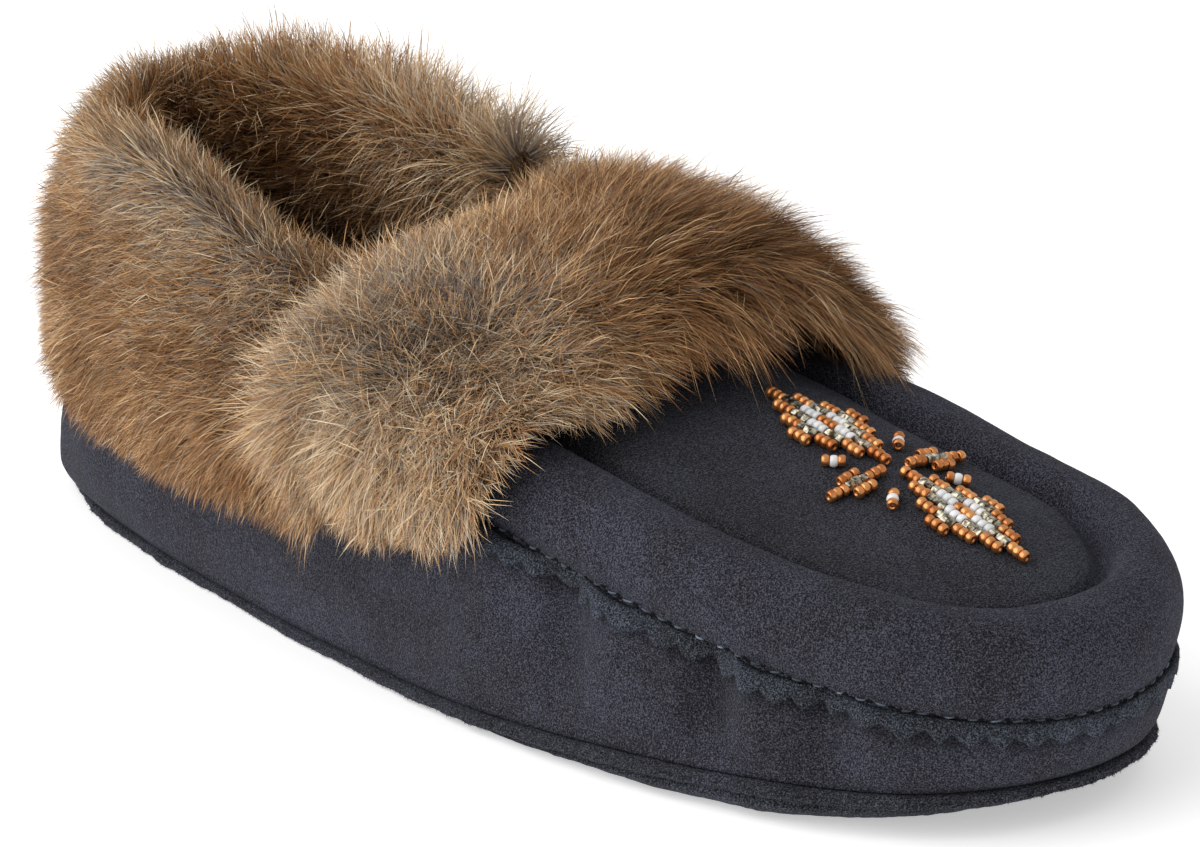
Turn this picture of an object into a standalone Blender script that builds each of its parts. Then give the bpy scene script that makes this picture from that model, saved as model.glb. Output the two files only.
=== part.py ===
"""Moccasin slipper for the right foot: suede upper with a rolled seam, padded sole, rabbit-fur collar and beads.

Frame: +Z up, the floor at z = 0, the toe towards -Y, the big toe's side (medial) towards +X.
Tables and functions work in millimetres; build_node turns them into metres.
"""

import math

import bpy
import numpy as np
from mathutils import Vector
from mathutils.bvhtree import BVHTree

MM = 0.001

# Driving sizes, in millimetres
LENGTH = 262.0        # along the sole's edge
HEEL_Y = 128.9        # where the sole's edge ends at the heel
AXIS_X = 2.6          # the foot's axis
GAP = 0.3             # between pieces that touch
WALL = 2.6            # suede with its fleece lining
SEAM_IN = 3.0         # from the sole's edge to the upper's foot
INSOLE_THICKNESS = 4.5

ROUND_COLUMNS = 60    # sections round the foot
BEND_WEIGHT = 60.0    # how much closer the sections lie where the outline turns, mm per radian
WALL_LOOPS, PLUG_STEPS = 4, 7    # loops of the upper below its stitched seam, and up its plug


def table(names, rows):
    """A short table as named columns."""
    return dict(zip(names.split(), np.array(rows, float).T))


# Half widths of the sole's edge; s runs from the heel (0) to the toe (1). The first and last rows are the two tips.
OUTLINE = table("s lateral medial", (
    (0.00, 1.5, -1.5),
    (0.03, 16.8, 17.0),
    (0.09, 26.4, 27.6),
    (0.18, 33.2, 33.6),
    (0.32, 39.6, 34.6),
    (0.46, 44.2, 36.6),
    (0.60, 47.6, 41.8),
    (0.72, 46.6, 45.2),
    (0.82, 42.2, 44.8),
    (0.90, 34.4, 39.6),
    (0.96, 23.0, 29.6),
    (0.99, 10.4, 17.6),
    (1.00, -3.0, 3.0),
))

# The sole: height of its underside, of the seam it shares with the upper, and the thickness of its raw edge.
SOLE = table("s floor seam edge", (
    (0.00, 0.0, 2.3, 2.1),
    (0.06, 0.0, 2.1, 2.0),
    (0.30, 0.0, 2.1, 2.0),
    (0.45, 0.0, 2.4, 2.2),
    (0.58, 0.0, 3.4, 2.4),
    (0.76, 0.0, 6.3, 2.7),
    (0.86, 0.3, 7.7, 2.9),
    (0.94, 1.8, 8.5, 3.0),
    (1.00, 4.4, 9.9, 3.0),
))

# The upper's wall: how far its belly and its stitched seam stand out past the sole's edge, then the roll's crest and
# the valley between roll and plug, each by inset from the sole's edge and height.
SECTIONS = table("s belly stitch_out stitch_z crest_in crest_z valley_in valley_z", (
    (0.00, 2.6, -2.5, 37.1, 6.0, 57.1, 8.0, 61.1),
    (0.15, 1.6, -1.0, 39.1, 6.0, 57.1, 8.0, 60.1),
    (0.32, 0.4, 0.0, 45.1, 9.0, 56.1, 12.0, 58.1),
    (0.46, 0.0, 0.0, 46.5, 14.0, 55.1, 18.0, 54.7),
    (0.56, -0.2, -0.4, 43.1, 12.6, 53.9, 17.4, 52.9),
    (0.66, -0.4, -0.8, 39.5, 11.0, 52.3, 17.2, 49.9),
    (0.76, -0.4, -0.6, 34.9, 9.6, 48.7, 15.8, 45.9),
    (0.86, -0.2, 0.2, 29.5, 8.2, 44.9, 14.2, 42.1),
    (0.94, 0.4, 2.0, 24.9, 6.6, 41.6, 12.6, 38.7),
    (1.00, 1.2, 3.8, 21.9, 5.0, 39.0, 11.2, 36.1),
))
ROLL_START, ROLL_FULL = 0.40, 0.54    # where along the foot the roll swells up
ROLL_BULGE = 1.3                      # of its face past the stitched seam

# The collar's rim: inset and height down both sides; in front of SIDE_S it closes in an arc at the throat.
COLLAR = table("s inset z", (
    (0.00, 8.0, 70.1),
    (0.10, 8.5, 69.1),
    (0.20, 9.5, 66.1),
    (0.30, 12.0, 62.1),
))
SIDE_S, THROAT_S = 0.30, 0.45
THROAT_Z = 65.1
ARC_SPREAD = 0.62     # how soon the sections along the foot reach the throat's arc
PLUG_CROWN = 0.6

# The pinked seam allowance: a toothed strip of suede that hangs below the stitched seam, round the toe.
PINKED_START = 0.652        # where it comes out from under the fur
PINKED_DROP = (3.2, 5.4)    # below the seam, at its notches and at its teeth
PINKED_THICKNESS = 1.4
TOOTH_PITCH = 5.8

# The fur collar, from the lateral front round the heel to the medial front. hem: height of its lower edge outside;
# out, top, into: how far the fur stands off the wall outside, over the rim and inside.
FUR_COLLAR = table("s hem out top into", (
    (0.00, 21.1, 10.5, 13.0, 6.5),
    (0.10, 19.6, 10.5, 14.0, 7.5),
    (0.20, 18.1, 9.5, 14.0, 8.0),
    (0.30, 18.1, 8.5, 13.0, 8.0),
    (0.42, 20.1, 8.0, 12.0, 7.5),
))
SKIN_GAP = 1.1                   # between the fur's skin and the upper
COLLAR_ENDS = (103.5, 98.0)      # how far from the heel its two ends stop: lateral, medial
COLLAR_CREST = 6                 # the point of its section that lies over the rim

# The fur flap crosses over the instep and ends in a tail on the lateral side. Its sections fan round an axis along
# the foot: angle from the vertical (medial positive), distance of its back and front edge from the heel, and outer
# radius.
FLAP = table("angle back front radius", (
    (-82.0, 122.5, 156.5, 55.5),
    (-72.0, 111.0, 166.5, 59.0),
    (-56.0, 107.0, 169.5, 59.5),
    (-38.0, 107.0, 169.5, 57.0),
    (-18.0, 107.0, 168.5, 57.5),
    (5.0, 106.0, 168.5, 61.0),
    (28.0, 104.0, 169.5, 65.0),
    (48.0, 103.0, 170.0, 61.5),
    (66.0, 103.5, 168.5, 55.0),
    (80.0, 109.5, 162.5, 51.0),
))
FLAP_AXIS_Z = 22.1
FLAP_ANGLES, FLAP_STEPS = 26, 15
FLAP_DEPTH = 19.0           # most that its underside lies below its outer face

LOCK = 3.4                  # how far the fur's locks stand out of its body

# The beadwork: each petal is a lozenge of cells, one cell for three beads of a row.
BEAD_LENGTH, BEAD_WIDTH, BEAD_RISE = 1.46, 2.26, 1.9
MOTIF_X, MOTIF_FROM_HEEL = 10.0, 206.2     # its middle, from the foot's axis and from the heel
BIG_PETAL, SMALL_PETAL, ACCENT = 3, 1, 0     # cells from a lozenge's middle to its tip
BIG_REACH, SMALL_REACH, ACCENT_REACH = 17.2, 8.6, 10.6     # from the motif's middle to each lozenge's middle


def smooth(x, xs, ys):
    """A cubic through the points (xs, ys), with slopes from their neighbours."""
    slopes = np.gradient(ys, xs)
    x = np.clip(x, xs[0], xs[-1])
    i = np.clip(np.searchsorted(xs, x) - 1, 0, len(xs) - 2)
    h = xs[i + 1] - xs[i]
    t = (x - xs[i]) / h
    return ((2 * t**3 - 3 * t**2 + 1) * ys[i] + (t**3 - 2 * t**2 + t) * h * slopes[i]
            + (3 * t**2 - 2 * t**3) * ys[i + 1] + (t**3 - t**2) * h * slopes[i + 1])


def column(tab, name, s):
    """One named column of a table, read at s."""
    return smooth(s, tab["s"], tab[name])


def ramp(x, low, high):
    """0 below low, 1 above high, smooth between."""
    t = np.clip((x - low) / (high - low), 0, 1)
    return t * t * (3 - 2 * t)


def s_to_y(s):
    return HEEL_Y - s * LENGTH


def y_to_s(y):
    return (HEEL_Y - y) / LENGTH


def closed_curve(points, count):
    """count points along a smooth closed curve through the given ones."""
    n = len(points)
    wrapped = np.concatenate([points[-3:], points, points[:3]])
    d = np.concatenate([[0], np.cumsum(np.linalg.norm(np.diff(wrapped, axis=0), axis=1))])
    t = np.linspace(d[3], d[n + 3], count, endpoint=False)
    return np.stack([smooth(t, d, wrapped[:, k]) for k in (0, 1)], axis=1)


def outline(columns):
    """Points round the sole's edge and their inward normals: heel, lateral side, toe, medial side."""
    y = s_to_y(OUTLINE["s"])
    lateral = np.stack([AXIS_X - OUTLINE["lateral"], y], axis=1)
    medial = np.stack([AXIS_X + OUTLINE["medial"], y], axis=1)
    dense = closed_curve(np.concatenate([lateral, medial[-2:0:-1]]), 2400)
    ahead = np.roll(dense, -1, axis=0) - dense
    step = np.linalg.norm(ahead, axis=1)
    heading = np.unwrap(np.arctan2(ahead[:, 1], ahead[:, 0]))
    turn = np.abs(np.gradient(heading))
    weight = np.concatenate([[0], np.cumsum(step + BEND_WEIGHT * turn)])
    toe = int(np.argmin(dense[:, 1]))
    half = columns // 2
    marks = np.concatenate([
        np.linspace(weight[0], weight[toe], half, endpoint=False),
        np.linspace(weight[toe], weight[-1], columns - half, endpoint=False),
    ])
    place = np.interp(marks, weight, np.arange(len(weight)))
    looped = np.concatenate([dense, dense[:1]])
    points = np.stack([np.interp(place, np.arange(len(looped)), looped[:, k]) for k in (0, 1)], axis=1)
    along = np.roll(dense, -25, axis=0) - np.roll(dense, 25, axis=0)
    along = np.concatenate([along, along[:1]])
    tangent = np.stack([np.interp(place, np.arange(len(along)), along[:, k]) for k in (0, 1)], axis=1)
    tangent /= np.linalg.norm(tangent, axis=1)[:, None]
    # the loop runs heel, -X side, toe, so the inside is to its left
    normals = np.stack([-tangent[:, 1], tangent[:, 0]], axis=1)
    return points, normals


def inset(edge, normals, distance, z):
    """A loop at a distance inside the sole's edge, at height z."""
    flat = edge + normals * np.broadcast_to(distance, len(edge))[:, None]
    return np.column_stack([flat, np.broadcast_to(z, len(edge))])


def collar_loop(edge, normals):
    """The rim of the collar, one point for each section round the foot."""
    s = y_to_s(edge[:, 1])
    back = inset(edge, normals, column(COLLAR, "inset", s), column(COLLAR, "z", s))
    side = np.where(normals[:, 0] > 0, -1.0, 1.0)
    held = np.minimum(s, SIDE_S)
    half = np.where(side < 0, column(OUTLINE, "lateral", held), column(OUTLINE, "medial", held))
    half = half - column(COLLAR, "inset", held)
    angle = np.clip((s - SIDE_S) / (1 - SIDE_S), 0, 1) ** ARC_SPREAD * math.pi / 2
    front = np.column_stack([
        AXIS_X + side * half * np.cos(angle),
        s_to_y(held) - (THROAT_S - SIDE_S) * LENGTH * np.sin(angle),
        column(COLLAR, "z", s) + (THROAT_Z - column(COLLAR, "z", SIDE_S)) * np.sin(angle) ** 2,
    ])
    return back + (front - back) * ramp(s, 0.12, 0.28)[:, None]


def spline_rows(rows, counts):
    """Smooth rows of points between the given ones; counts says how many steps each interval gets."""
    rows = np.array(rows)
    slopes = np.gradient(rows, axis=0)
    made = []
    for i, steps in enumerate(counts):
        for t in np.arange(steps) / steps:
            made.append((2 * t**3 - 3 * t**2 + 1) * rows[i] + (t**3 - 2 * t**2 + t) * slopes[i]
                        + (3 * t**2 - 2 * t**3) * rows[i + 1] + (t**3 - t**2) * slopes[i + 1])
    return made + [rows[-1]]


def upper_rows(edge, normals, wall_steps, roll_steps, plug_steps):
    """Loops of the upper's outer face, from its foot up the wall, over the roll, down to the valley and up the plug."""
    s = y_to_s(edge[:, 1])
    get = lambda name: column(SECTIONS, name, s)
    seam_z = column(SOLE, "seam", s) + GAP
    rise = get("stitch_z") - seam_z
    wall = [
        (SEAM_IN, seam_z),
        (SEAM_IN - 0.75 * (SEAM_IN + get("belly")), seam_z + 0.10 * rise),
        (-get("belly"), seam_z + 0.26 * rise),
        (-0.5 * (get("belly") + get("stitch_out")), seam_z + 0.62 * rise),
        (-get("stitch_out"), get("stitch_z")),
    ]
    wall = [inset(edge, normals, d, z) for d, z in wall]
    stitch = wall[-1]
    collar = collar_loop(edge, normals)
    # the roll, from the seam over the crest to the valley
    crest_in, crest_z = get("crest_in"), get("crest_z")
    valley_in, valley_z = get("valley_in"), get("valley_z")
    drop = crest_z - get("stitch_z")
    bulge = -get("stitch_out") - ROLL_BULGE
    roll = [
        (bulge + 0.4, get("stitch_z") + 0.28 * drop),
        (bulge + 0.6 + 0.12 * crest_in, get("stitch_z") + 0.62 * drop),
        (0.52 * crest_in + 0.48 * (bulge + 1.0) - 0.8, get("stitch_z") + 0.91 * drop),
        (crest_in, crest_z),
        (0.42 * crest_in + 0.58 * valley_in, 0.76 * crest_z + 0.24 * valley_z),
        (0.1 * crest_in + 0.9 * valley_in, 0.30 * crest_z + 0.70 * valley_z),
        (valley_in + 0.8, valley_z),
        (valley_in + 3.5, valley_z + 1.6),
    ]
    roll = [inset(edge, normals, d, z) for d, z in roll]
    # where there is no roll, under the fur, the wall leans straight in to the rim
    swell = ramp(s, ROLL_START, ROLL_FULL)[:, None]
    for i, part in enumerate((0.14, 0.28, 0.42, 0.55, 0.67, 0.77, 0.85, 0.91)):
        straight = stitch + (collar - stitch) * part
        roll[i] = straight + (roll[i] - straight) * swell
    rows = spline_rows(wall + roll, [wall_steps] * WALL_LOOPS + [roll_steps] * len(roll))
    lip = rows[-1]
    for step in range(1, plug_steps + 1):
        u = step / plug_steps
        row = lip + (collar - lip) * u
        row[:, 2] += PLUG_CROWN * math.sin(math.pi * u) * swell[:, 0]
        rows.append(row)
    return rows


def lofted(rows, close_caps=False):
    """Faces between closed loops of points; caps join each lateral point to its medial partner."""
    n = len(rows[0])
    faces = []
    for r in range(len(rows) - 1):
        for i in range(n):
            j = (i + 1) % n
            faces.append((r * n + i, r * n + j, (r + 1) * n + j, (r + 1) * n + i))
    if close_caps:
        for base, flip in ((0, True), ((len(rows) - 1) * n, False)):
            for i in range(n // 2):
                a, b = i, i + 1
                c, d = (n - b) % n, (n - a) % n
                face = [base + k for k in dict.fromkeys((a, b, c, d))]
                if len(face) > 2:
                    faces.append(tuple(reversed(face)) if flip else tuple(face))
    return np.concatenate(rows), faces


def row_normals(rows):
    """Outward unit normals of a grid of loops."""
    grid = np.array(rows)
    along = np.roll(grid, -1, axis=1) - np.roll(grid, 1, axis=1)
    up = np.gradient(grid, axis=0)
    normal = np.cross(along, up)
    return normal / np.maximum(np.linalg.norm(normal, axis=2), 1e-9)[:, :, None]


def material(name, color, roughness, metallic=0.0):
    made = bpy.data.materials.new(name)
    made.use_nodes = True
    shader = made.node_tree.nodes["Principled BSDF"]
    shader.inputs["Base Color"].default_value = (*color, 1.0)
    shader.inputs["Roughness"].default_value = roughness
    shader.inputs["Metallic"].default_value = metallic
    return made


def build_node(name, points, faces, finish):
    """One closed solid, given in millimetres."""
    mesh = bpy.data.meshes.new(name)
    mesh.from_pydata([tuple(p) for p in np.asarray(points) * MM], [], faces)
    mesh.validate()
    mesh.update()
    mesh.materials.append(finish)
    mesh.shade_smooth()
    made = bpy.data.objects.new(name, mesh)
    bpy.context.scene.collection.objects.link(made)
    return made


def build_outsole(finish):
    """The padded suede sole: flat underneath, rounded up to a raw edge that stands out past the upper."""
    edge, normals = outline(ROUND_COLUMNS)
    s = y_to_s(edge[:, 1])
    floor, seam, thick = (column(SOLE, name, s) for name in ("floor", "seam", "edge"))
    floor = np.maximum(floor, 0.0)
    under = seam - thick
    rows = [
        inset(edge, normals, 14.0, floor),
        inset(edge, normals, 8.0, floor + 0.04 * (under - floor)),
        inset(edge, normals, 4.6, floor + 0.32 * (under - floor)),
        inset(edge, normals, 2.8, floor + 0.76 * (under - floor)),
        inset(edge, normals, 2.3, under),
        inset(edge, normals, 0.3, under + 0.2),
        inset(edge, normals, 0.0, seam - 0.5 * thick),
        inset(edge, normals, 0.4, seam),
        inset(edge, normals, 8.0, seam),
    ]
    points, faces = lofted(rows, close_caps=True)
    return build_node("outsole", points, faces, finish)


def upper_faces(edge, normals):
    """Loops of the upper's outer face, and of its inner face WALL behind it."""
    rows = upper_rows(edge, normals, wall_steps=1, roll_steps=1, plug_steps=PLUG_STEPS)
    inner = [row - WALL * out for row, out in zip(rows, row_normals(rows))]
    inner[0][:, 2] = rows[0][:, 2]      # both faces start level, on the sole
    return rows, inner


def build_upper(finish):
    """One hollow solid: open at the collar and underneath, its wall WALL thick all over."""
    rows, inner = upper_faces(*outline(ROUND_COLUMNS))
    # the inner face needs fewer loops: every second one above the wall
    inner = inner[:5] + inner[6:-1:2] + inner[-1:]
    loops = rows + inner[::-1]
    points, faces = lofted(loops)
    n = len(rows[0])
    last = (len(loops) - 1) * n
    faces += [(last + i, last + (i + 1) % n, (i + 1) % n, i) for i in range(n)]
    return build_node("upper", points, faces, finish)


def build_insole(finish):
    """The fleece footbed that lies on the sole, inside the upper."""
    edge, normals = outline(ROUND_COLUMNS)
    low = column(SOLE, "seam", y_to_s(edge[:, 1])) + GAP
    inside = SEAM_IN + WALL + 2 * GAP
    rows = [
        inset(edge, normals, inside + 3.0, low),
        inset(edge, normals, inside + 0.4, low),
        inset(edge, normals, inside, low + 0.6 * INSOLE_THICKNESS),
        inset(edge, normals, inside + 2.5, low + INSOLE_THICKNESS),
    ]
    points, faces = lofted(rows, close_caps=True)
    return build_node("insole", points, faces, finish)


def strip_solid(sections):
    """A closed solid swept through open sections: each is a ring of the same number of points."""
    n = len(sections[0])
    faces = []
    for r in range(len(sections) - 1):
        for i in range(n):
            j = (i + 1) % n
            faces.append((r * n + i, r * n + j, (r + 1) * n + j, (r + 1) * n + i))
    last = (len(sections) - 1) * n
    faces += [tuple(reversed(range(n))), tuple(last + i for i in range(n))]
    return np.concatenate(sections), faces


def profile(edge, normals, rows):
    """Loops as insets from the sole's edge and heights, one column for each section."""
    rows = np.array(rows)
    return ((rows[:, :, :2] - edge) * normals).sum(axis=2), rows[:, :, 2]


def build_pinked_seam(finish):
    """The toothed seam allowance, lying on the wall below the stitched seam."""
    dense_edge, dense_normals = outline(720)
    s = y_to_s(dense_edge[:, 1])
    run = np.flatnonzero(s > PINKED_START)
    path = dense_edge[run]
    d = np.concatenate([[0], np.cumsum(np.linalg.norm(np.diff(path, axis=0), axis=1))])
    columns = 2 * round(d[-1] / TOOTH_PITCH) + 1
    pick = np.round(np.interp(np.linspace(0, d[-1], columns), d, run)).astype(int)
    edge, normals = dense_edge[pick], dense_normals[pick]
    depth, height = profile(edge, normals, upper_rows(edge, normals, 4, 1, 1)[:WALL_LOOPS * 4 + 1])
    stitch_z = column(SECTIONS, "stitch_z", y_to_s(edge[:, 1]))
    sections = []
    for i in range(columns):
        off = lambda z: np.interp(z, height[:, i], depth[:, i]) - GAP - 0.1
        drop = PINKED_DROP[i % 2]
        top, low = stitch_z[i] - GAP, stitch_z[i] - drop
        ring = [
            (off(top), top),
            (off(top) - PINKED_THICKNESS, top - 0.5),
            (off(low) - 0.8 * PINKED_THICKNESS, low + 0.3),
            (off(low), low),
        ]
        sections.append([(*(edge[i] + normals[i] * a), z) for a, z in ring])
    points, faces = strip_solid(sections)
    return build_node("pinked_seam", points, faces, finish)


def locks(grid, normals, flow, reach):
    """Raises every second point of a grid, in a brick pattern, into a lock that leans along the fur's flow."""
    made = grid.copy()
    rows, columns = grid.shape[:2]
    reach = np.broadcast_to(reach, (rows, columns))
    for r in range(1, rows - 1):
        for c in range(1, columns - 1):
            if (r + c) % 2:
                made[r, c] += reach[r, c] * (0.75 * normals[r, c] + 0.65 * flow[r, c])
    return made


def collar_section(s, normal, outside, inside):
    """The fur's outer face and its skin side, each from the outer hem over the rim to the inner hem.

    outside and inside are the upper's two faces here, as points from the foot up.
    """
    get = lambda name: float(column(FUR_COLLAR, name, s))

    def at(face, z, off):
        """The point of a face at height z, moved inwards by off."""
        x, y = (np.interp(z, face[:, 2], face[:, k]) for k in (0, 1))
        return np.array([x + normal[0] * off, y + normal[1] * off, z])

    def over(off, rise):
        """A point over the rim."""
        return outside[-1] + np.array([normal[0] * off, normal[1] * off, rise])

    hem, top = get("hem"), outside[-1, 2]
    low, mid = inside[WALL_LOOPS, 2] + 1.0, 0.5 * (hem + top)
    seam = outside[WALL_LOOPS, 2]
    skin = [at(outside, z, -SKIN_GAP) for z in (hem + 2.0, outside[WALL_LOOPS - 1, 2], seam, 0.5 * (seam + top), top)]
    skin += [over(0.5 * WALL, 2 * SKIN_GAP)]
    skin += [at(inside, z, SKIN_GAP) for z in np.linspace(inside[-1, 2] + SKIN_GAP, low + 2.0, 4)]
    fur = [
        at(outside, hem, -2.4),
        at(outside, hem + 7.0, -0.8 * get("out")),
        at(outside, mid, -get("out")),
        at(outside, top - 5.0, -0.9 * get("out")),
        over(-0.5 * get("out"), 0.72 * get("top")),
        over(0.5 * WALL, get("top")),
        over(WALL + 0.6 * get("into"), 0.66 * get("top")),
        over(WALL + get("into"), -3.0),
        at(inside, low + 0.4 * (top - low), get("into")),
        at(inside, low, 2.4),
    ]
    return np.array(spline_rows(fur, [1, 1, 2, 1, 1, 1, 1, 1, 1])), np.array(skin)


def build_fur_collar(finish):
    """Fur folded over the collar's rim, with locks, swept from the lateral front round the heel to the medial one."""
    edge, normals = outline(ROUND_COLUMNS)
    s = y_to_s(edge[:, 1])
    outside, inside = (np.array(rows) for rows in upper_faces(edge, normals))
    reach_round = range(-(ROUND_COLUMNS // 3), ROUND_COLUMNS // 3 + 1)
    columns = {i: collar_section(s[i], normals[i], outside[:, i], inside[:, i]) for i in reach_round}
    # where along the loop the two ends lie: columns count up from the heel on the lateral side, down on the medial one
    ends = []
    for from_heel, way in zip(COLLAR_ENDS, (1, -1)):
        front_y = HEEL_Y - from_heel
        i = 0
        while edge[i + way, 1] > front_y:
            i += way
        ends.append(i + way * (edge[i, 1] - front_y) / (edge[i, 1] - edge[i + way, 1]))
    # the upper's own columns and the middles between them, so the skin lies evenly on the wall
    stops = [k / 2 for k in range(math.ceil(2 * ends[1] + 0.4), math.floor(2 * ends[0] - 0.4) + 1)]
    fur, skin = [], []
    for place in [ends[0], *reversed(stops), ends[1]]:
        i = math.floor(place)
        for line, made in zip((0, 1), (fur, skin)):
            made.append(columns[i][line] + (columns[i + 1][line] - columns[i][line]) * (place - i))
    fur, skin = np.array(fur), np.array(skin)
    along = np.gradient(fur, axis=0)
    across = np.gradient(fur, axis=1)
    out = np.cross(across, along)
    out /= np.linalg.norm(out, axis=2)[:, :, None]
    flow = across / np.linalg.norm(across, axis=2)[:, :, None]
    flow[:, :COLLAR_CREST] *= -1
    reach = np.where(np.arange(fur.shape[1]) <= COLLAR_CREST, LOCK, 0.5 * LOCK)
    fur = locks(fur, out, flow, reach)
    fur[1:-1:2, 0, 2] -= LOCK
    points, faces = strip_solid([np.concatenate([a, b[::-1]]) for a, b in zip(fur, skin)])
    return build_node("fur_collar", points, faces, finish)


def radial(angle, y, radius):
    """A point at an angle and radius about the flap's axis."""
    return np.array([AXIS_X + radius * math.sin(angle), y, FLAP_AXIS_Z + radius * math.cos(angle)])


def surface_radius(tree, angle, y, far=95.0):
    """How far from the flap's axis the upper's outer face lies, or 0 where it is open."""
    start = Vector(radial(angle, y, far)) * MM
    end = Vector(radial(angle, y, 0.0)) * MM
    hit = tree.ray_cast(start, end - start, far * MM)
    return far - hit[3] / MM if hit[0] is not None else 0.0


def build_fur_flap(finish, upper):
    """The fur band over the instep, thickest at its middle, with the tail at its lateral end."""
    upper_mesh = upper.data
    tree = BVHTree.FromPolygons([v.co for v in upper_mesh.vertices], [p.vertices[:] for p in upper_mesh.polygons])
    throat_y = s_to_y(THROAT_S) - 3.0
    over, under = [], []
    for angle_deg in np.linspace(FLAP["angle"][0], FLAP["angle"][-1], FLAP_ANGLES):
        angle = math.radians(angle_deg)
        get = lambda name: float(smooth(angle_deg, FLAP["angle"], FLAP[name]))
        ends = ramp(angle_deg, -86.0, -68.0) * ramp(-angle_deg, -84.0, -66.0)
        line_over, line_under = [], []
        for q in np.linspace(0, 1, FLAP_STEPS):
            y = HEEL_Y - get("back") - (get("front") - get("back")) * q
            spans = [surface_radius(tree, angle + da, min(y + dy, limit))
                     for da in (-0.05, 0.0, 0.05) for dy in (-2.2, 0.0, 2.2) for limit in (throat_y, 99.0)]
            base = max(spans) + 3 * GAP
            swell = (1 - abs(2 * q - 1) ** 2.4) ** (1 / 2.4)
            crown = max(get("radius"), base + 4.0)
            low = max(base, crown - FLAP_DEPTH)
            line_over.append(radial(angle, y, low + 2.0 + (crown - low - 2.0) * swell * (0.35 + 0.65 * ends)))
            line_under.append(radial(angle, y, low))
        over.append(line_over)
        under.append(line_under)
    grid = np.array(over)
    along = np.gradient(grid, axis=0)
    across = np.gradient(grid, axis=1)
    out = np.cross(across, along)
    out /= np.linalg.norm(out, axis=2)[:, :, None]
    flow = -along / np.linalg.norm(along, axis=2)[:, :, None]
    grid = locks(grid, out, flow, LOCK)
    sections = [np.concatenate([a, b[::-1]]) for a, b in zip(grid, np.array(under))]
    points, faces = strip_solid(sections)
    return build_node("fur_flap", points, faces, finish)


def build_petals(finish, upper):
    """Four petals and four accents of beads, each a low lozenge that lies on the plug."""
    upper_mesh = upper.data
    tree = BVHTree.FromPolygons([v.co for v in upper_mesh.vertices], [p.vertices[:] for p in upper_mesh.polygons])

    def plug_z(x, y):
        return tree.ray_cast(Vector((x * MM, y * MM, 0.2)), Vector((0, 0, -1)))[0][2] / MM

    def lozenge(name, reach, bearing, cells):
        along = Vector((math.cos(bearing), math.sin(bearing)))
        side = Vector((-along.y, along.x))
        middle = Vector((AXIS_X + MOTIF_X, HEEL_Y - MOTIF_FROM_HEEL)) + along * reach
        inside = {(i, k) for i in range(-cells, cells + 1) for k in range(-cells, cells + 1)
                  if abs(i) + abs(k) <= cells}
        corners = sorted({(i + a, k + b) for i, k in inside for a in (0, 1) for b in (0, 1)})
        points, index = [], {}
        for level in (0, 1):
            for i, k in corners:
                flat = middle + along * ((i - 0.5) * 3 * BEAD_LENGTH) + side * ((k - 0.5) * BEAD_WIDTH)
                index[level, i, k] = len(points)
                points.append((flat.x, flat.y, plug_z(flat.x, flat.y) + GAP + 0.1 + level * BEAD_RISE))
        faces = []
        for i, k in sorted(inside):
            faces.append([index[1, i, k], index[1, i + 1, k], index[1, i + 1, k + 1], index[1, i, k + 1]])
            faces.append([index[0, i, k + 1], index[0, i + 1, k + 1], index[0, i + 1, k], index[0, i, k]])
            for di, dk, a, b in ((0, -1, (i, k), (i + 1, k)), (1, 0, (i + 1, k), (i + 1, k + 1)),
                                 (0, 1, (i + 1, k + 1), (i, k + 1)), (-1, 0, (i, k + 1), (i, k))):
                if (i + di, k + dk) not in inside:
                    faces.append([index[0, *a], index[0, *b], index[1, *b], index[1, *a]])
        return build_node(name, points, faces, finish)

    for name, bearing in (("front", -90), ("back", 90)):
        lozenge(f"bead_petal_{name}", BIG_REACH, math.radians(bearing), BIG_PETAL)
    for name, bearing in (("lateral", 180), ("medial", 0)):
        lozenge(f"bead_petal_{name}", SMALL_REACH, math.radians(bearing), SMALL_PETAL)
    for number, bearing in enumerate((-135, -45, 45, 135), start=1):
        lozenge(f"bead_accent_{number}", ACCENT_REACH, math.radians(bearing), ACCENT)


def main():
    for old in list(bpy.data.objects):
        bpy.data.objects.remove(old, do_unlink=True)
    suede = material("suede", (0.050, 0.053, 0.062), 0.95)
    sole_suede = material("sole_suede", (0.036, 0.039, 0.046), 0.95)
    fleece = material("fleece", (0.10, 0.09, 0.08), 0.95)
    fur = material("fur", (0.26, 0.16, 0.09), 0.8)
    beads = material("beads", (0.60, 0.30, 0.14), 0.3, metallic=0.6)
    build_outsole(sole_suede)
    upper = build_upper(suede)
    build_insole(fleece)
    build_pinked_seam(suede)
    build_fur_collar(fur)
    build_fur_flap(fur, upper)
    build_petals(beads, upper)


main()
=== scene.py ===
"""The looks of a right-foot moccasin slipper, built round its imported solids.

Tables and functions work in millimetres, in the slipper's own frame; make_mesh turns them into metres.
s runs along the foot, from 0 at the heel to 1 at the toe. Lateral is the outer side (-X) and medial the
inner one.
"""

import math

import bpy
import numpy as np
from mathutils import Matrix, Vector
from mathutils.bvhtree import BVHTree
from mathutils.kdtree import KDTree


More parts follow.
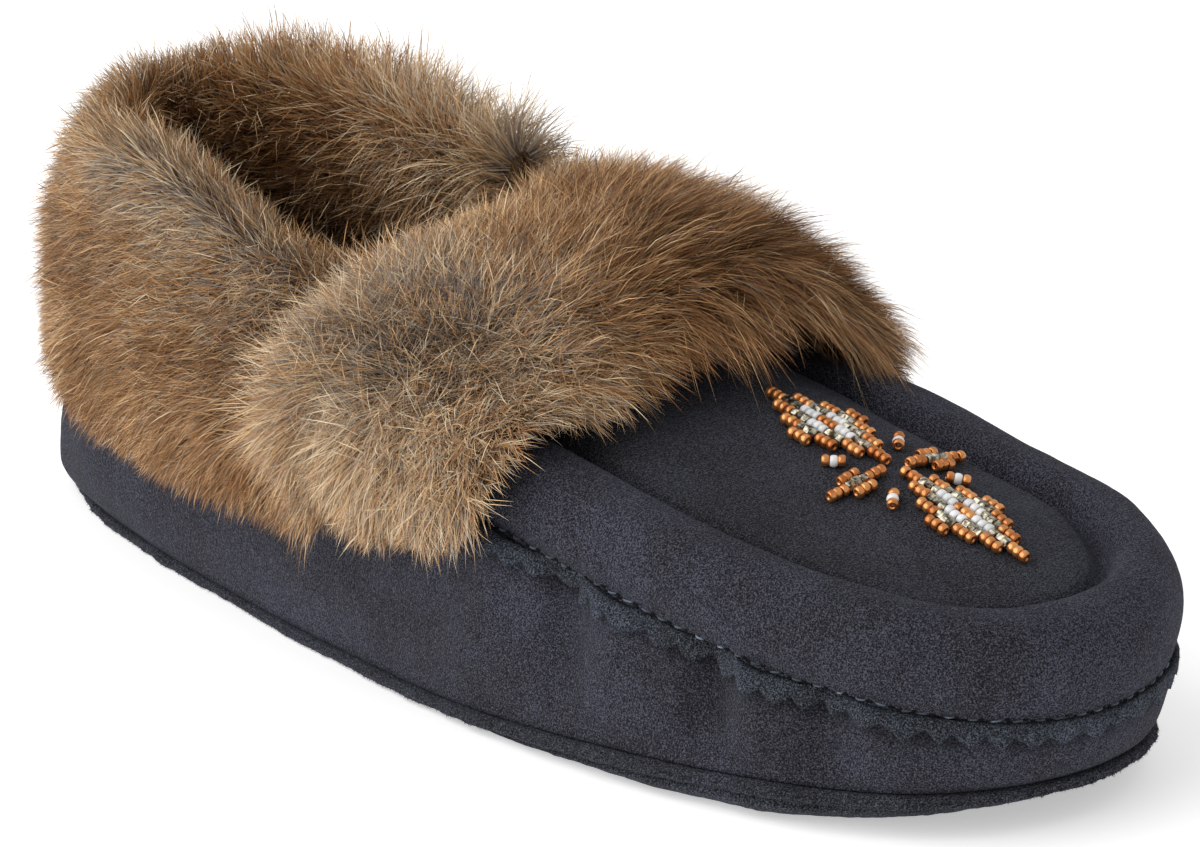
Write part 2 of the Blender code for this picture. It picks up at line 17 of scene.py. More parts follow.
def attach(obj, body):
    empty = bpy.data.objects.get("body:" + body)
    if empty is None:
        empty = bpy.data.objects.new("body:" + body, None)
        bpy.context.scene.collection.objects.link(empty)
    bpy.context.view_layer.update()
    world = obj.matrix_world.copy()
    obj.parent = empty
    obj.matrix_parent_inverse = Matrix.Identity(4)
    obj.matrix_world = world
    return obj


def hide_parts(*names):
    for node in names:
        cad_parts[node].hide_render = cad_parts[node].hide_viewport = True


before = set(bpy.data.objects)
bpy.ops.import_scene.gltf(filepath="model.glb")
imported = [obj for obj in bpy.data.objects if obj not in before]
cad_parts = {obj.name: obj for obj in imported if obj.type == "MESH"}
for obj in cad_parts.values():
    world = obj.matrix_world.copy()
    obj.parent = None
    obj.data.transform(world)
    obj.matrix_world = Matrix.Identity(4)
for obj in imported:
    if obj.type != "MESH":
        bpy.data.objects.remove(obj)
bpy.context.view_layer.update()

MM = 0.001
RNG = np.random.default_rng(20)
WARM = 0.70           # where the hair's brown tones end and its greys begin

# ---------------------------------------------------------------- the slipper's own sizes
# The tables and the form follow the part's source, apart from small differences that only its looks need.
LENGTH = 262.0
HEEL_Y = 128.9        # where the sole ends behind
AXIS_X = 2.6          # the foot's middle line
GAP = 0.3             # between pieces that rest on each other
WALL = 2.6            # suede and fleece together
SEAM_IN = 3.0         # from the sole's edge in to the upper's seam
WALL_FOOT_IN = 1.3    # from the sole's edge in to the foot of the side wall
INSOLE_THICKNESS = 4.5
BEND_WEIGHT = 60.0    # draws more columns to the outline's bends
WALL_LOOPS = 4
ROLL_LOOPS = 8


def table(names, rows):
    """A short table as named columns."""
    return dict(zip(names.split(), np.array(rows, float).T))


OUTLINE = table("s lateral medial", (
    (0.00, 1.5, -1.5),
    (0.03, 16.8, 17.0),
    (0.09, 26.4, 27.6),
    (0.18, 33.2, 33.6),
    (0.32, 39.6, 34.6),
    (0.46, 44.2, 36.6),
    (0.60, 47.6, 41.8),
    (0.72, 46.6, 45.2),
    (0.82, 42.2, 44.8),
    (0.90, 34.4, 39.6),
    (0.96, 23.0, 29.6),
    (0.99, 10.4, 17.6),
    (1.00, -3.0, 3.0),
))
SOLE = table("s floor seam edge", (
    (0.00, 0.0, 2.3, 2.1),
    (0.06, 0.0, 2.1, 2.0),
    (0.30, 0.0, 2.1, 2.0),
    (0.45, 0.0, 2.4, 2.2),
    (0.58, 0.0, 3.4, 2.4),
    (0.76, 0.0, 6.3, 2.7),
    (0.86, 0.3, 7.5, 2.7),
    (0.94, 1.8, 8.1, 2.6),
    (1.00, 4.4, 9.0, 2.1),
))
SECTIONS = table("s belly stitch_out stitch_z crest_in crest_z valley_in valley_z", (
    (0.00, 2.6, -2.5, 37.1, 6.0, 57.1, 8.0, 61.1),
    (0.15, 1.6, -1.0, 39.1, 6.0, 57.1, 8.0, 60.1),
    (0.32, 0.4, 0.0, 45.1, 9.0, 56.1, 12.0, 58.1),
    (0.46, 0.0, 0.0, 46.5, 14.0, 55.1, 18.0, 54.7),
    (0.56, -0.2, -0.4, 43.1, 12.6, 53.9, 17.4, 52.9),
    (0.66, -0.4, -0.8, 38.7, 11.0, 52.3, 17.2, 49.9),
    (0.76, -0.4, -0.6, 34.0, 9.6, 48.7, 15.8, 45.9),
    (0.86, -0.2, 0.2, 28.7, 8.2, 44.9, 14.2, 42.1),
    (0.94, 0.4, 2.0, 24.9, 6.6, 41.6, 12.6, 38.7),
    (1.00, 1.2, 3.8, 21.9, 5.0, 39.0, 11.2, 36.1),
))
ROLL_START, ROLL_FULL = 0.40, 0.54
ROLL_BULGE = 1.3
COLLAR = table("s inset z", (
    (0.00, 8.0, 70.1),
    (0.10, 8.5, 69.1),
    (0.20, 9.5, 66.1),
    (0.30, 12.0, 62.1),
))
SIDE_S, THROAT_S, THROAT_Z, ARC_SPREAD, PLUG_CROWN = 0.30, 0.45, 65.1, 0.62, 0.6
FUR_COLLAR = table("s hem out top into", (
    (0.00, 21.1, 10.5, 13.0, 6.5),
    (0.10, 19.6, 10.5, 14.0, 7.5),
    (0.20, 18.1, 9.5, 14.0, 8.0),
    (0.30, 18.1, 8.5, 13.0, 8.0),
    (0.42, 20.1, 8.0, 12.0, 7.5),
))
COLLAR_ENDS = (103.5, 98.0)
FLAP = table("angle back front radius", (
    (-78.0, 118.5, 148.0, 56.0),
    (-70.0, 111.0, 164.5, 59.0),
    (-56.0, 107.0, 169.5, 59.5),
    (-38.0, 107.0, 169.5, 57.0),
    (-18.0, 107.0, 168.5, 57.5),
    (5.0, 106.0, 168.5, 61.0),
    (28.0, 104.0, 169.5, 65.0),
    (48.0, 103.0, 170.0, 61.5),
    (66.0, 103.5, 168.5, 55.0),
    (80.0, 109.5, 162.5, 51.0),
))
FLAP_AXIS_Z, FLAP_DEPTH = 22.1, 19.0
BEAD_LENGTH, BEAD_WIDTH = 1.46, 2.26
MOTIF_X, MOTIF_FROM_HEEL = 8.3, 208.0
BIG_REACH, SMALL_REACH, ACCENT_REACH = 17.2, 9.1, 10.6

# ---------------------------------------------------------------- the slipper's form


def cubic(t, a, b, slope_a, slope_b, span=1.0):
    """The cubic from a to b with these slopes, at t from 0 to 1."""
    return ((2 * t**3 - 3 * t**2 + 1) * a + (t**3 - 2 * t**2 + t) * span * slope_a
            + (3 * t**2 - 2 * t**3) * b + (t**3 - t**2) * span * slope_b)


def smooth(x, xs, ys):
    """A cubic through the points (xs, ys), with slopes from their neighbours."""
    slopes = np.gradient(ys, xs)
    x = np.clip(x, xs[0], xs[-1])
    i = np.clip(np.searchsorted(xs, x) - 1, 0, len(xs) - 2)
    h = xs[i + 1] - xs[i]
    return cubic((x - xs[i]) / h, ys[i], ys[i + 1], slopes[i], slopes[i + 1], h)


def column(tab, name, s):
    return smooth(s, tab["s"], tab[name])


def ramp(x, low, high):
    """0 below low, 1 above high, smooth between."""
    t = np.clip((np.asarray(x, float) - low) / (high - low), 0, 1)
    return t * t * (3 - 2 * t)


def bell(x, width):
    """1 at 0, and near 0 past twice the width on both sides."""
    return np.exp(-(x / width) ** 2)


def s_to_y(s):
    return HEEL_Y - s * LENGTH


def y_to_s(y):
    return (HEEL_Y - y) / LENGTH


def run_length(points):
    """How far along its line, or along the first axis of its grid, each point lies."""
    steps = np.linalg.norm(np.diff(points, axis=0), axis=-1)
    return np.concatenate([np.zeros_like(steps[:1]), np.cumsum(steps, axis=0)])


def closed_curve(points, count):
    """count points along a smooth closed curve through the given ones."""
    n = len(points)
    wrapped = np.concatenate([points[-3:], points, points[:3]])
    d = run_length(wrapped)
    t = np.linspace(d[3], d[n + 3], count, endpoint=False)
    return np.stack([smooth(t, d, wrapped[:, k]) for k in (0, 1)], axis=1)


def outline(columns):
    """Points round the sole's edge and their inward normals: heel, lateral side, toe, medial side."""
    y = s_to_y(OUTLINE["s"])
    lateral = np.stack([AXIS_X - OUTLINE["lateral"], y], axis=1)
    medial = np.stack([AXIS_X + OUTLINE["medial"], y], axis=1)
    dense = closed_curve(np.concatenate([lateral, medial[-2:0:-1]]), 2400)
    ahead = np.roll(dense, -1, axis=0) - dense
    step = np.linalg.norm(ahead, axis=1)
    heading = np.unwrap(np.arctan2(ahead[:, 1], ahead[:, 0]))
    turn = np.abs(np.gradient(heading))
    weight = np.concatenate([[0], np.cumsum(step + BEND_WEIGHT * turn)])
    toe = int(np.argmin(dense[:, 1]))
    half = columns // 2
    marks = np.concatenate([
        np.linspace(weight[0], weight[toe], half, endpoint=False),
        np.linspace(weight[toe], weight[-1], columns - half, endpoint=False),
    ])
    place = np.interp(marks, weight, np.arange(len(weight)))
    looped = np.concatenate([dense, dense[:1]])
    points = np.stack([np.interp(place, np.arange(len(looped)), looped[:, k]) for k in (0, 1)], axis=1)
    along = np.roll(dense, -25, axis=0) - np.roll(dense, 25, axis=0)
    along = np.concatenate([along, along[:1]])
    tangent = np.stack([np.interp(place, np.arange(len(along)), along[:, k]) for k in (0, 1)], axis=1)
    tangent /= np.linalg.norm(tangent, axis=1)[:, None]
    return points, np.stack([-tangent[:, 1], tangent[:, 0]], axis=1)


def inset(edge, normals, distance, z):
    """A loop at a distance inside the sole's edge, at height z."""
    flat = edge + normals * np.broadcast_to(distance, len(edge))[:, None]
    return np.column_stack([flat, np.broadcast_to(z, len(edge))])


def collar_loop(edge, normals):
    """The rim of the collar, one point for each section round the foot."""
    s = y_to_s(edge[:, 1])
    back = inset(edge, normals, column(COLLAR, "inset", s), column(COLLAR, "z", s))
    side = np.where(normals[:, 0] > 0, -1.0, 1.0)
    held = np.minimum(s, SIDE_S)
    half = np.where(side < 0, column(OUTLINE, "lateral", held), column(OUTLINE, "medial", held))
    half = half - column(COLLAR, "inset", held)
    angle = np.clip((s - SIDE_S) / (1 - SIDE_S), 0, 1) ** ARC_SPREAD * math.pi / 2
    front = np.column_stack([
        AXIS_X + side * half * np.cos(angle),
        s_to_y(held) - (THROAT_S - SIDE_S) * LENGTH * np.sin(angle),
        column(COLLAR, "z", s) + (THROAT_Z - column(COLLAR, "z", SIDE_S)) * np.sin(angle) ** 2,
    ])
    return back + (front - back) * ramp(s, 0.12, 0.28)[:, None]


def spline_rows(rows, counts):
    """Smooth rows of points between the given ones; counts says how many steps each interval gets."""
    rows = np.array(rows)
    slopes = np.gradient(rows, axis=0)
    made = [cubic(t, rows[i], rows[i + 1], slopes[i], slopes[i + 1])
            for i, steps in enumerate(counts) for t in np.arange(steps) / steps]
    return made + [rows[-1]]


def upper_rows(edge, normals, wall_steps, roll_steps, plug_steps):
    """Loops of the upper's outer face: up the wall, over the roll, down into the valley and up the plug."""
    s = y_to_s(edge[:, 1])
    belly, stitch_out, stitch_z, crest_in, crest_z, valley_in, valley_z = (
        column(SECTIONS, name, s) for name in list(SECTIONS)[1:])
    seam_z = column(SOLE, "seam", s) + GAP
    rise = stitch_z - seam_z
    wall = [
        (WALL_FOOT_IN, seam_z),
        (SEAM_IN - 0.75 * (SEAM_IN + belly), seam_z + 0.10 * rise),
        (-belly, seam_z + 0.26 * rise),
        (-0.5 * (belly + stitch_out), seam_z + 0.62 * rise),
        (-stitch_out, stitch_z),
    ]
    wall = [inset(edge, normals, d, z) for d, z in wall]
    stitch = wall[-1]
    collar = collar_loop(edge, normals)
    medial = ramp(-normals[:, 0], -0.15, 0.5)
    narrow = 1 - 0.24 * ramp(s, 0.78, 0.90) * medial
    crest_in = crest_in * narrow
    crest_z = crest_z - 1.2 * medial * ramp(s, 0.44, 0.54) * (1 - ramp(s, 0.84, 0.94))
    valley_in = valley_in * (narrow - 0.2 * medial * ramp(s, 0.44, 0.54) * (1 - ramp(s, 0.62, 0.74)))
    drop = crest_z - stitch_z
    bulge = -stitch_out - ROLL_BULGE
    roll = [
        (bulge + 0.4, stitch_z + 0.28 * drop),
        (bulge + 0.6 + 0.12 * crest_in, stitch_z + 0.62 * drop),
        (0.52 * crest_in + 0.48 * (bulge + 1.0) - 0.8, stitch_z + 0.91 * drop),
        (crest_in, crest_z),
        (0.42 * crest_in + 0.58 * valley_in, 0.76 * crest_z + 0.24 * valley_z),
        (0.1 * crest_in + 0.9 * valley_in, 0.30 * crest_z + 0.70 * valley_z),
        (valley_in + 0.8, valley_z),
        (valley_in + 3.5, valley_z + 1.6),
    ]
    roll = [inset(edge, normals, d, z) for d, z in roll]
    swell = ramp(s, ROLL_START, ROLL_FULL)[:, None]
    for i, part in enumerate((0.14, 0.28, 0.42, 0.55, 0.67, 0.77, 0.85, 0.91)):
        straight = stitch + (collar - stitch) * part
        roll[i] = straight + (roll[i] - straight) * swell
    rows = spline_rows(wall + roll, [wall_steps] * WALL_LOOPS + [roll_steps] * ROLL_LOOPS)
    lip = rows[-1]
    for step in range(1, plug_steps + 1):
        u = step / plug_steps
        row = lip + (collar - lip) * u
        row[:, 2] += PLUG_CROWN * math.sin(math.pi * u) * swell[:, 0]
        rows.append(row)
    return rows


def row_normals(rows):
    """Outward unit normals of a grid of closed loops."""
    grid = np.array(rows)
    along = np.roll(grid, -1, axis=1) - np.roll(grid, 1, axis=1)
    return unit(np.cross(along, np.gradient(grid, axis=0)))


def unit(v):
    return v / np.maximum(np.linalg.norm(v, axis=-1, keepdims=True), 1e-9)


def patch_normals(grid):
    """Unit normals of an open grid, on the side that its second axis turns to from its first."""
    return unit(np.cross(np.gradient(grid, axis=1), np.gradient(grid, axis=0)))


# ---------------------------------------------------------------- meshes and noise


def value_noise(points, size, seed):
    """Smooth random numbers from -1 to 1 at the points, with features of about the given size in mm."""
    q = np.asarray(points, float) / size + seed * 17.31
    cell = np.floor(q).astype(np.int64)
    f = q - cell
    f = f * f * (3 - 2 * f)
    total = np.zeros(q.shape[:-1])
    for corner in np.ndindex(2, 2, 2):
        h, weight = 0, 1.0
        for axis, (step, prime) in enumerate(zip(corner, (73856093, 19349663, 83492791))):
            h = h ^ ((cell[..., axis] + step) * prime)
            weight = weight * (f[..., axis] if step else 1 - f[..., axis])
        h = (h ^ (h >> 13)) * 1274126177 & 0xFFFFFFFF
        h = (h ^ (h >> 15)) * 668265263 & 0xFFFFFFFF
        total += weight * (((h >> 8) & 0xFFFF) / 32767.5 - 1)
    return total


def noises(points, *terms):
    """Value noises added up; each term is its strength, size and seed."""
    return sum(strength * value_noise(points, size, seed) for strength, size, seed in terms)


def place_object(name, data):
    made = bpy.data.objects.new(name, data)
    bpy.context.scene.collection.objects.link(made)
    return made


def make_mesh(name, points, faces, finish, replaces=(), uv=None):
    """A piece from points in mm and one or more arrays of faces, each with as many columns as corners."""
    mesh = bpy.data.meshes.new(name)
    points = np.asarray(points, float).reshape(-1, 3) * MM
    faces = [np.asarray(f, np.int32) for f in (faces if isinstance(faces, list) else [faces])]
    corners = np.concatenate([f.ravel() for f in faces])
    sizes = np.concatenate([np.full(len(f), f.shape[1], np.int32) for f in faces])
    starts = np.concatenate([[0], np.cumsum(sizes)[:-1]]).astype(np.int32)
    mesh.vertices.add(len(points))
    mesh.vertices.foreach_set("co", points.astype(np.float32).ravel())
    mesh.loops.add(len(corners))
    mesh.loops.foreach_set("vertex_index", corners)
    mesh.polygons.add(len(sizes))
    mesh.polygons.foreach_set("loop_start", starts)
    mesh.update(calc_edges=True)
    mesh.validate()
    mesh.shade_smooth()
    if uv is not None:
        layer = mesh.uv_layers.new(name="OFBake")
        layer.data.foreach_set("uv", np.asarray(uv, np.float32)[corners].ravel())
    mesh.materials.append(finish)
    made = place_object(name, mesh)
    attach(made, "root")
    if replaces:
        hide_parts(*replaces)
    return made


def paint_shade(made, painted_shade):
    """Gives the suede painted shade: how much darker each point is drawn."""
    layer = made.data.attributes.new("painted_shade", "FLOAT", "POINT")
    layer.data.foreach_set("value", painted_shade.astype(np.float32))


def loop_faces(rows, columns, wrap_rows=False):
    """Quads of a grid of closed loops, one loop a row; with wrap_rows the last loop joins the first."""
    r, c = np.meshgrid(np.arange(rows if wrap_rows else rows - 1), np.arange(columns), indexing="ij")
    r2, c2 = (r + 1) % rows, (c + 1) % columns
    r, r2 = r * columns, r2 * columns
    return np.stack([r + c, r + c2, r2 + c2, r2 + c], axis=-1).reshape(-1, 4)


def cap_faces(base, n, flip):
    """Joins each lateral point of a loop to its medial partner; the two ends are triangles."""
    a = np.arange(n // 2)
    b = a + 1
    quads = np.stack([a, b, (n - b) % n, (n - a) % n], axis=1) + base
    tris = np.array([quads[0][[0, 1, 2]], quads[-1][[0, 1, 3]]])
    quads = quads[1:-1]
    return (quads[:, ::-1], tris[:, ::-1]) if flip else (quads, tris)


def tube_faces(rings):
    """Faces of a tube, given as its closed rings, with one face over each of its two ends."""
    rows, columns = rings.shape[:2]
    ring = np.arange(columns)
    return [loop_faces(rows, columns), np.array([ring[::-1], ring + (rows - 1) * columns])]


def repeated(faces, times, points):
    """The faces of a form that comes so many times, each time with as many points."""
    return np.concatenate([faces + k * points for k in range(times)])


def stack_faces(rows):
    """Faces of a stack of the foot's loops, closed at its bottom and at its top."""
    n = rows.shape[1]
    low, low_ends = cap_faces(0, n, True)
    high, high_ends = cap_faces((len(rows) - 1) * n, n, False)
    return [np.concatenate([loop_faces(len(rows), n), low, high]), np.concatenate([low_ends, high_ends])]


# ---------------------------------------------------------------- materials


class Nodes:
    """Short hand for building a material's nodes."""

    def __init__(self, name, **constants):
        self.material = bpy.data.materials.new(name)
        self.material.use_nodes = True
        self.tree = self.material.node_tree
        self.shader = self.tree.nodes["Principled BSDF"]
        for socket, value in constants.items():
            self.shader.inputs[socket.replace("_", " ")].default_value = value
        self.where = self.add("ShaderNodeTexCoord").outputs["Object"]

    def feed(self, socket, value):
        """Gives a socket another node's output, a colour or a number."""
        if isinstance(value, bpy.types.NodeSocket):
            self.tree.links.new(value, socket)
        else:
            socket.default_value = (*value, 1) if isinstance(value, tuple) else value

    def add(self, kind, inputs=(), **settings):
        node = self.tree.nodes.new(kind)
        for key, value in settings.items():
            setattr(node, key, value)
        for name, value in dict(inputs).items():
            self.feed(node.inputs[name], value)
        return node

    def noise(self, scale, detail, rough=0.5):
        inputs = {"Scale": scale, "Detail": detail, "Roughness": rough, "Vector": self.where}
        return self.add("ShaderNodeTexNoise", inputs).outputs["Fac"]

    def own_map(self):
        """The two coordinates of the piece's own map."""
        split = self.add("ShaderNodeSeparateXYZ")
        self.feed(split.inputs[0], self.add("ShaderNodeUVMap", uv_map="OFBake").outputs["UV"])
        return split.outputs["X"], split.outputs["Y"]

    def ramp(self, fac, *stops):
        node = self.add("ShaderNodeValToRGB", {"Fac": fac})
        elements = node.color_ramp.elements
        while len(elements) < len(stops):
            elements.new(0.5)
        for element, (place, value) in zip(elements, stops):
            element.position = place
            element.color = (value, value, value, 1) if isinstance(value, float) else (*value, 1)
        return node.outputs["Color"]

    def mix(self, fac, a, b, blend="MIX"):
        inputs = {0: fac, 6: a, 7: b}
        return self.add("ShaderNodeMix", data_type="RGBA", blend_type=blend, inputs=inputs).outputs[2]

    def bump(self, height, distance, strength, below=None):
        inputs = {"Strength": strength, "Distance": distance, "Height": height}
        if below is not None:
            inputs["Normal"] = below
        return self.add("ShaderNodeBump", inputs).outputs["Normal"]

    def finish(self, color, roughness, normal=None):
        self.feed(self.shader.inputs["Base Color"], color)
        self.feed(self.shader.inputs["Roughness"], roughness)
        if normal is not None:
            self.feed(self.shader.inputs["Normal"], normal)
        return self.material


def rgb(r, g, b):
    """A colour given as it looks on a screen, 0 to 255, as the linear values that Blender takes."""
    return tuple(((v / 255 + 0.055) / 1.055) ** 2.4 if v > 10 else v / 3294.6 for v in (r, g, b))


def suede(name, dark, mid, light, nap=1.0):
    """Suede with a sheared nap: fine curling grain, brushed lighter and darker patches, and a soft sheen."""
    n = Nodes(name, Sheen_Weight=0.10, Sheen_Roughness=0.4, Specular_IOR_Level=0.12)
    n.shader.inputs["Sheen Tint"].default_value = (*rgb(150, 156, 172), 1)
    grain = n.noise(3800.0, 0.0, 0.5)
    curl = n.noise(2000.0, 1.0, 0.5)
    patch = n.noise(95.0, 2.0, 0.5)
    broad = n.noise(24.0, 2.0, 0.5)
    fine = n.mix(0.3, grain, curl)
    tone = n.mix(0.20, fine, n.mix(0.55, patch, broad))
    tint = n.ramp(n.mix(0.5, patch, broad), (0.42, (1.01, 1.0, 0.98)), (0.58, (0.98, 1.0, 1.03)))
    color = n.mix(1.0, n.ramp(tone, (0.36, dark), (0.50, mid), (0.64, light)), tint, "MULTIPLY")
    # painted shade: the colour is drawn darker, down to 0.38 of itself, where the piece's attribute says
    painted_shade = n.add("ShaderNodeAttribute", attribute_name="painted_shade").outputs["Fac"]
    color = n.mix(1.0, color, n.ramp(painted_shade, (0.0, 1.0), (1.0, 0.38)), "MULTIPLY")
    rough = n.ramp(grain, (0.3, 0.82), (0.7, 0.98))
    low = n.bump(curl, 0.0006, 0.6 * nap)
    return n.finish(color, rough, n.bump(grain, 0.0003, 0.8 * nap, low))


def fleece(name, dark, light):
    n = Nodes(name, Sheen_Weight=0.3, Sheen_Roughness=0.5, Specular_IOR_Level=0.1)
    tuft = n.noise(420.0, 3.0, 0.6)
    hair = n.noise(1700.0, 2.0, 0.6)
    color = n.ramp(n.mix(0.4, tuft, hair), (0.35, dark), (0.65, light))
    rough = n.ramp(hair, (0.3, 0.85), (0.7, 1.0))
    return n.finish(color, rough, n.bump(tuft, 0.0008, 0.8))


def fur_material(name):
    """Hair coloured by its own map alone.

    u is the hair's tone: dark to pale brown up to WARM, and slate to pale grey past it. v runs from root to
    tip twice: the lower half is a plain hair, the upper half one with a dark tip.
    """
    n = Nodes(name, Specular_IOR_Level=0.25)
    u, v = n.own_map()
    tone = n.ramp(u,
                  (0.00, rgb(50, 32, 19)), (0.15, rgb(99, 64, 36)), (0.32, rgb(157, 111, 68)),
                  (0.48, rgb(196, 153, 106)), (0.62, rgb(222, 190, 147)), (WARM - 0.005, rgb(240, 222, 190)),
                  (WARM + 0.005, rgb(68, 61, 60)), (0.86, rgb(130, 117, 107)), (1.00, rgb(188, 170, 150)))
    # the roots are drawn darker: partly the hair's own banding, partly painted shade deep in the fur
    shade = n.ramp(v,
                   (0.00, (0.50, 0.50, 0.53)), (0.16, (0.80, 0.80, 0.81)),
                   (0.32, 1.0), (0.499, (1.12, 1.10, 1.04)),
                   (0.501, (0.50, 0.50, 0.53)), (0.70, 0.95),
                   (0.86, (0.45, 0.42, 0.40)), (1.00, (0.14, 0.13, 0.13)))
    rough = n.ramp(v, (0.0, 0.75), (0.49, 0.5), (1.0, 0.5))
    return n.finish(n.mix(1.0, tone, shade, "MULTIPLY"), rough)


def pelt_material(name):
    n = Nodes(name, Specular_IOR_Level=0.1)
    fluff = n.noise(300.0, 4.0, 0.6)
    hair = n.noise(1200.0, 2.0, 0.6)
    color = n.ramp(n.mix(0.35, fluff, hair),
                   (0.32, rgb(46, 36, 29)), (0.52, rgb(84, 64, 46)), (0.7, rgb(120, 94, 68)))
    rough = n.ramp(hair, (0.3, 0.8), (0.7, 1.0))
    return n.finish(color, rough, n.bump(fluff, 0.002, 0.9))


def thread_material(name):
    n = Nodes(name, Sheen_Weight=0.2, Specular_IOR_Level=0.35)
    color = n.ramp(n.noise(180.0, 2.0),
                   (0.40, rgb(38, 43, 50)), (0.55, rgb(62, 72, 83)), (0.66, rgb(104, 118, 131)))
    rough = n.ramp(n.noise(900.0, 1.0), (0.3, 0.45), (0.7, 0.7))
    return n.finish(color, rough, n.bump(n.noise(2600.0, 2.0), 0.0001, 0.6))


def bead_material(name, dark, light, metallic, roughness, coat=0.0, patch=260.0):
    n = Nodes(name, Metallic=metallic, Coat_Weight=coat, Coat_Roughness=0.05, Specular_IOR_Level=0.5)
    color = n.ramp(n.noise(patch, 2.0), (0.38, dark), (0.62, light))
    rough = n.ramp(n.noise(700.0, 2.0), (0.3, roughness), (0.7, roughness + 0.12))
    return n.finish(color, rough)


SUEDE = suede("suede_upper", rgb(18, 18, 21), rgb(44, 44, 51), rgb(80, 80, 91))
# the plug's skin, a touch darker than the upper's: partly its own tone, partly painted shade of its top
SUEDE_PLUG = suede("suede_plug", rgb(20, 20, 22), rgb(44, 44, 49), rgb(74, 75, 82))
SUEDE_SOLE = suede("suede_sole", rgb(20, 21, 23), rgb(47, 48, 54), rgb(88, 91, 100), nap=1.5)
SUEDE_EDGE = suede("suede_raw_edge", rgb(22, 23, 26), rgb(51, 54, 61), rgb(92, 98, 108), nap=1.6)
# near-black suede for the cones that paint the shade of the needle holes
SUEDE_HOLE_SHADE = suede("suede_painted_hole_shade", rgb(6, 6, 7), rgb(12, 12, 14), rgb(20, 20, 23), nap=0.5)
FLEECE = fleece("fleece_lining", rgb(50, 43, 38), rgb(98, 85, 74))
FUR = fur_material("fur_hair")
PELT = pelt_material("fur_pelt")
THREAD = thread_material("thread")
COPPER = bead_material("bead_copper", rgb(184, 112, 60), rgb(234, 164, 104), 0.85, 0.24)
# the silver's facet-sized dark and light patches are painted reflections and glints on the beads' own tone
SILVER = bead_material("bead_silver", rgb(72, 64, 48), rgb(200, 192, 172), 0.85, 0.15, patch=1100.0)
WHITE = bead_material("bead_white", rgb(212, 212, 212), rgb(236, 236, 236), 0.0, 0.22, coat=0.5)

# ---------------------------------------------------------------- the suede upper
UPPER_COLUMNS = 580
WALL_STEPS, ROLL_STEPS, PLUG_STEPS = 7, 5, 26
SEAM_ROWS = (3, 2)    # extra rows below and above the stitched seam, where the skin pulls in sharply
STITCH_ROW = WALL_STEPS * WALL_LOOPS + SEAM_ROWS[0]
CREST_ROW = STITCH_ROW + SEAM_ROWS[1] + ROLL_STEPS * 4
VALLEY_ROW = STITCH_ROW + SEAM_ROWS[1] + ROLL_STEPS * 7
LIP_ROW = VALLEY_ROW + ROLL_STEPS
SKIN = 1.2            # the suede alone, without its lining

# Soft troughs (depth below 0) and ridges of the side wall, each from its top down to its foot. side is -1 for
# lateral and 1 for medial; s and t, the share of the wall's height, place both ends; the half width and the
# depth are in mm.
FOLDS = table("side s_top s_foot t_top t_foot width depth", (
    (-1, 0.080, 0.070, 0.85, 0.10, 7.0, -0.8),
    (-1, 0.200, 0.190, 0.60, 0.05, 9.0, 0.5),
    (-1, 0.655, 0.600, 1.00, 0.42, 5.0, 1.7),
    (-1, 0.704, 0.690, 1.00, 0.40, 5.4, -3.5),
    (-1, 0.748, 0.740, 0.95, 0.50, 4.4, 1.5),
    (-1, 0.785, 0.780, 1.00, 0.50, 4.5, -0.9),
    (-1, 0.827, 0.812, 1.00, 0.30, 5.0, -3.6),
    (-1, 0.858, 0.850, 1.00, 0.45, 4.0, 1.5),
    (-1, 0.904, 0.898, 1.00, 0.34, 4.4, -2.8),
    (-1, 0.932, 0.934, 1.00, 0.38, 3.6, 0.9),
    (-1, 0.962, 0.958, 1.00, 0.50, 4.0, -0.9),
    (1, 0.640, 0.620, 1.00, 0.40, 4.6, -1.8),
    (1, 0.682, 0.672, 1.00, 0.50, 4.2, 1.3),
    (1, 0.735, 0.722, 1.00, 0.30, 4.2, -2.2),
    (1, 0.780, 0.775, 1.00, 0.40, 3.8, 1.4),
    (1, 0.836, 0.826, 1.00, 0.30, 4.2, -2.2),
    (1, 0.880, 0.876, 1.00, 0.45, 3.8, 1.3),
    (1, 0.930, 0.926, 1.00, 0.35, 4.0, -1.6),
    (1, 0.972, 0.970, 1.00, 0.50, 4.0, 0.8),
))
DEEPEST_FOLD = 3.6
HEEL_FULLER = 1.9     # how far the wall swells out low at the heel
SEAM_GROOVE, GROOVE_WIDTH = 0.45, 0.95    # how deep the stitched seam pulls in, and how far the pull reaches
VALLEY_CREASE, CREASE_WIDTH = 0.7, 2.4    # the same behind the roll
STITCH_PITCH = 3.9
VALLEY_DROP = 2.0     # the valley and the plug's border lie this much lower than in the part's simple solid
DOME = ((10.0, -80.0), (15.0, 38.0), 2.9)     # the plug's soft dome: its middle, half widths and height


